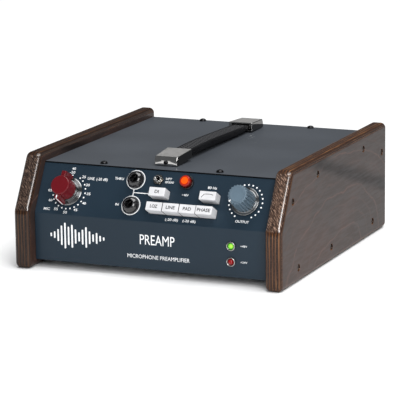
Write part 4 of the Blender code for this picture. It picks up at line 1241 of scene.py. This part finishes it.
def add_light(name, kind, place, target, power, **settings):
    light = bpy.data.lights.new(name, kind)
    light.energy = power
    for setting, value in settings.items():
        setattr(light, setting, value)
    obj = link(name, light)
    obj.location = place
    obj.rotation_euler = (Vector(target) - obj.location).to_track_quat("-Z", "Y").to_euler()
    return obj


def make_stage():
    shape = bmesh.new()
    bmesh.ops.create_grid(shape, x_segments=2, y_segments=2, size=6000)
    floor = to_object("floor", shape, Matrix.Translation((0, 0, -0.0002)))
    look = Look("pale_floor", (0.92, 0.92, 0.92), 0.8, Specular_IOR_Level=0.1)
    look.feed(Base_Color=look.noise(3, 3).ramp((0.3, 0.915), (0.7, 0.925)))
    floor.data.materials.append(look.material)
    world = bpy.data.worlds.new("studio")
    world.use_nodes = True
    background = next(n for n in world.node_tree.nodes if n.type == "BACKGROUND")
    background.inputs[0].default_value = (0.92, 0.96, 1, 1)
    background.inputs[1].default_value = 0.16
    bpy.context.scene.world = world
    bpy.context.scene.view_settings.view_transform = "Standard"
    add_light("overhead_light", "SUN", (0.2, 0.06, 1), (0, 0, 0), 3.1, angle=radians(50))
    box = {"shape": "RECTANGLE", "size": 0.7, "size_y": 0.6}
    add_light("key_light", "AREA", (0.72, -1.02, 0.66), (0, 0, 0.05), 11, **box)
    box.update(size=0.3, size_y=0.3)
    fill = add_light("fill_light", "AREA", (-0.19, -0.62, 0.56), (0.08, -0.11, 0.09), 0.4, **box)
    fill.visible_glossy = False


def make_camera():
    """Slightly above and to the right of the object, with a long lens."""
    yaw, pitch, roll = 0.412952, 0.216155, -0.0126344
    distance = 2.038445
    target = design(2.495, 100.5, 45.88)
    ahead = Vector((-sin(yaw) * cos(pitch), cos(yaw) * cos(pitch), -sin(pitch)))
    level = Vector((cos(yaw), sin(yaw), 0))
    above = level.cross(ahead)
    right = level * cos(roll) + above * sin(roll)
    up = above * cos(roll) - level * sin(roll)
    camera = bpy.data.cameras.new("camera")
    camera.sensor_width = 36
    camera.lens = 210.41
    camera.clip_end = 50
    obj = link("camera", camera)
    obj.matrix_world = pose(target - ahead * distance, right, up, -ahead)
    bpy.context.scene.camera = obj


# ---- build

for wearing, carried in NODE_LOOKS.items():
    for carried_node in carried.split():
        painted(NODES[carried_node], wearing, 32)
make_cheek(-1)
make_cheek(1)
make_lid_screws()
make_strap()
make_cap("front")
make_cap("rear")
make_gain_control()
make_output_control()
make_jack_nut("thru_jack", slope(*THRU_JACK_AT))
make_jack_nut("di_jack", slope(*DI_JACK_AT))
make_toggle(slope(*TOGGLE_AT))
make_lamp(slope(*LAMP_AT))
cap_tops = {key: make_button(key, slope(*at)) for key, at in BUTTONS.items()}
make_led("green", "green", front(*LEDS["green"]))
make_led("red", "red_led", front(*LEDS["red"]))
make_rear_details()
print_slope()
print_front()
print_caps(cap_tops)
print_rear()
make_stage()
make_camera()
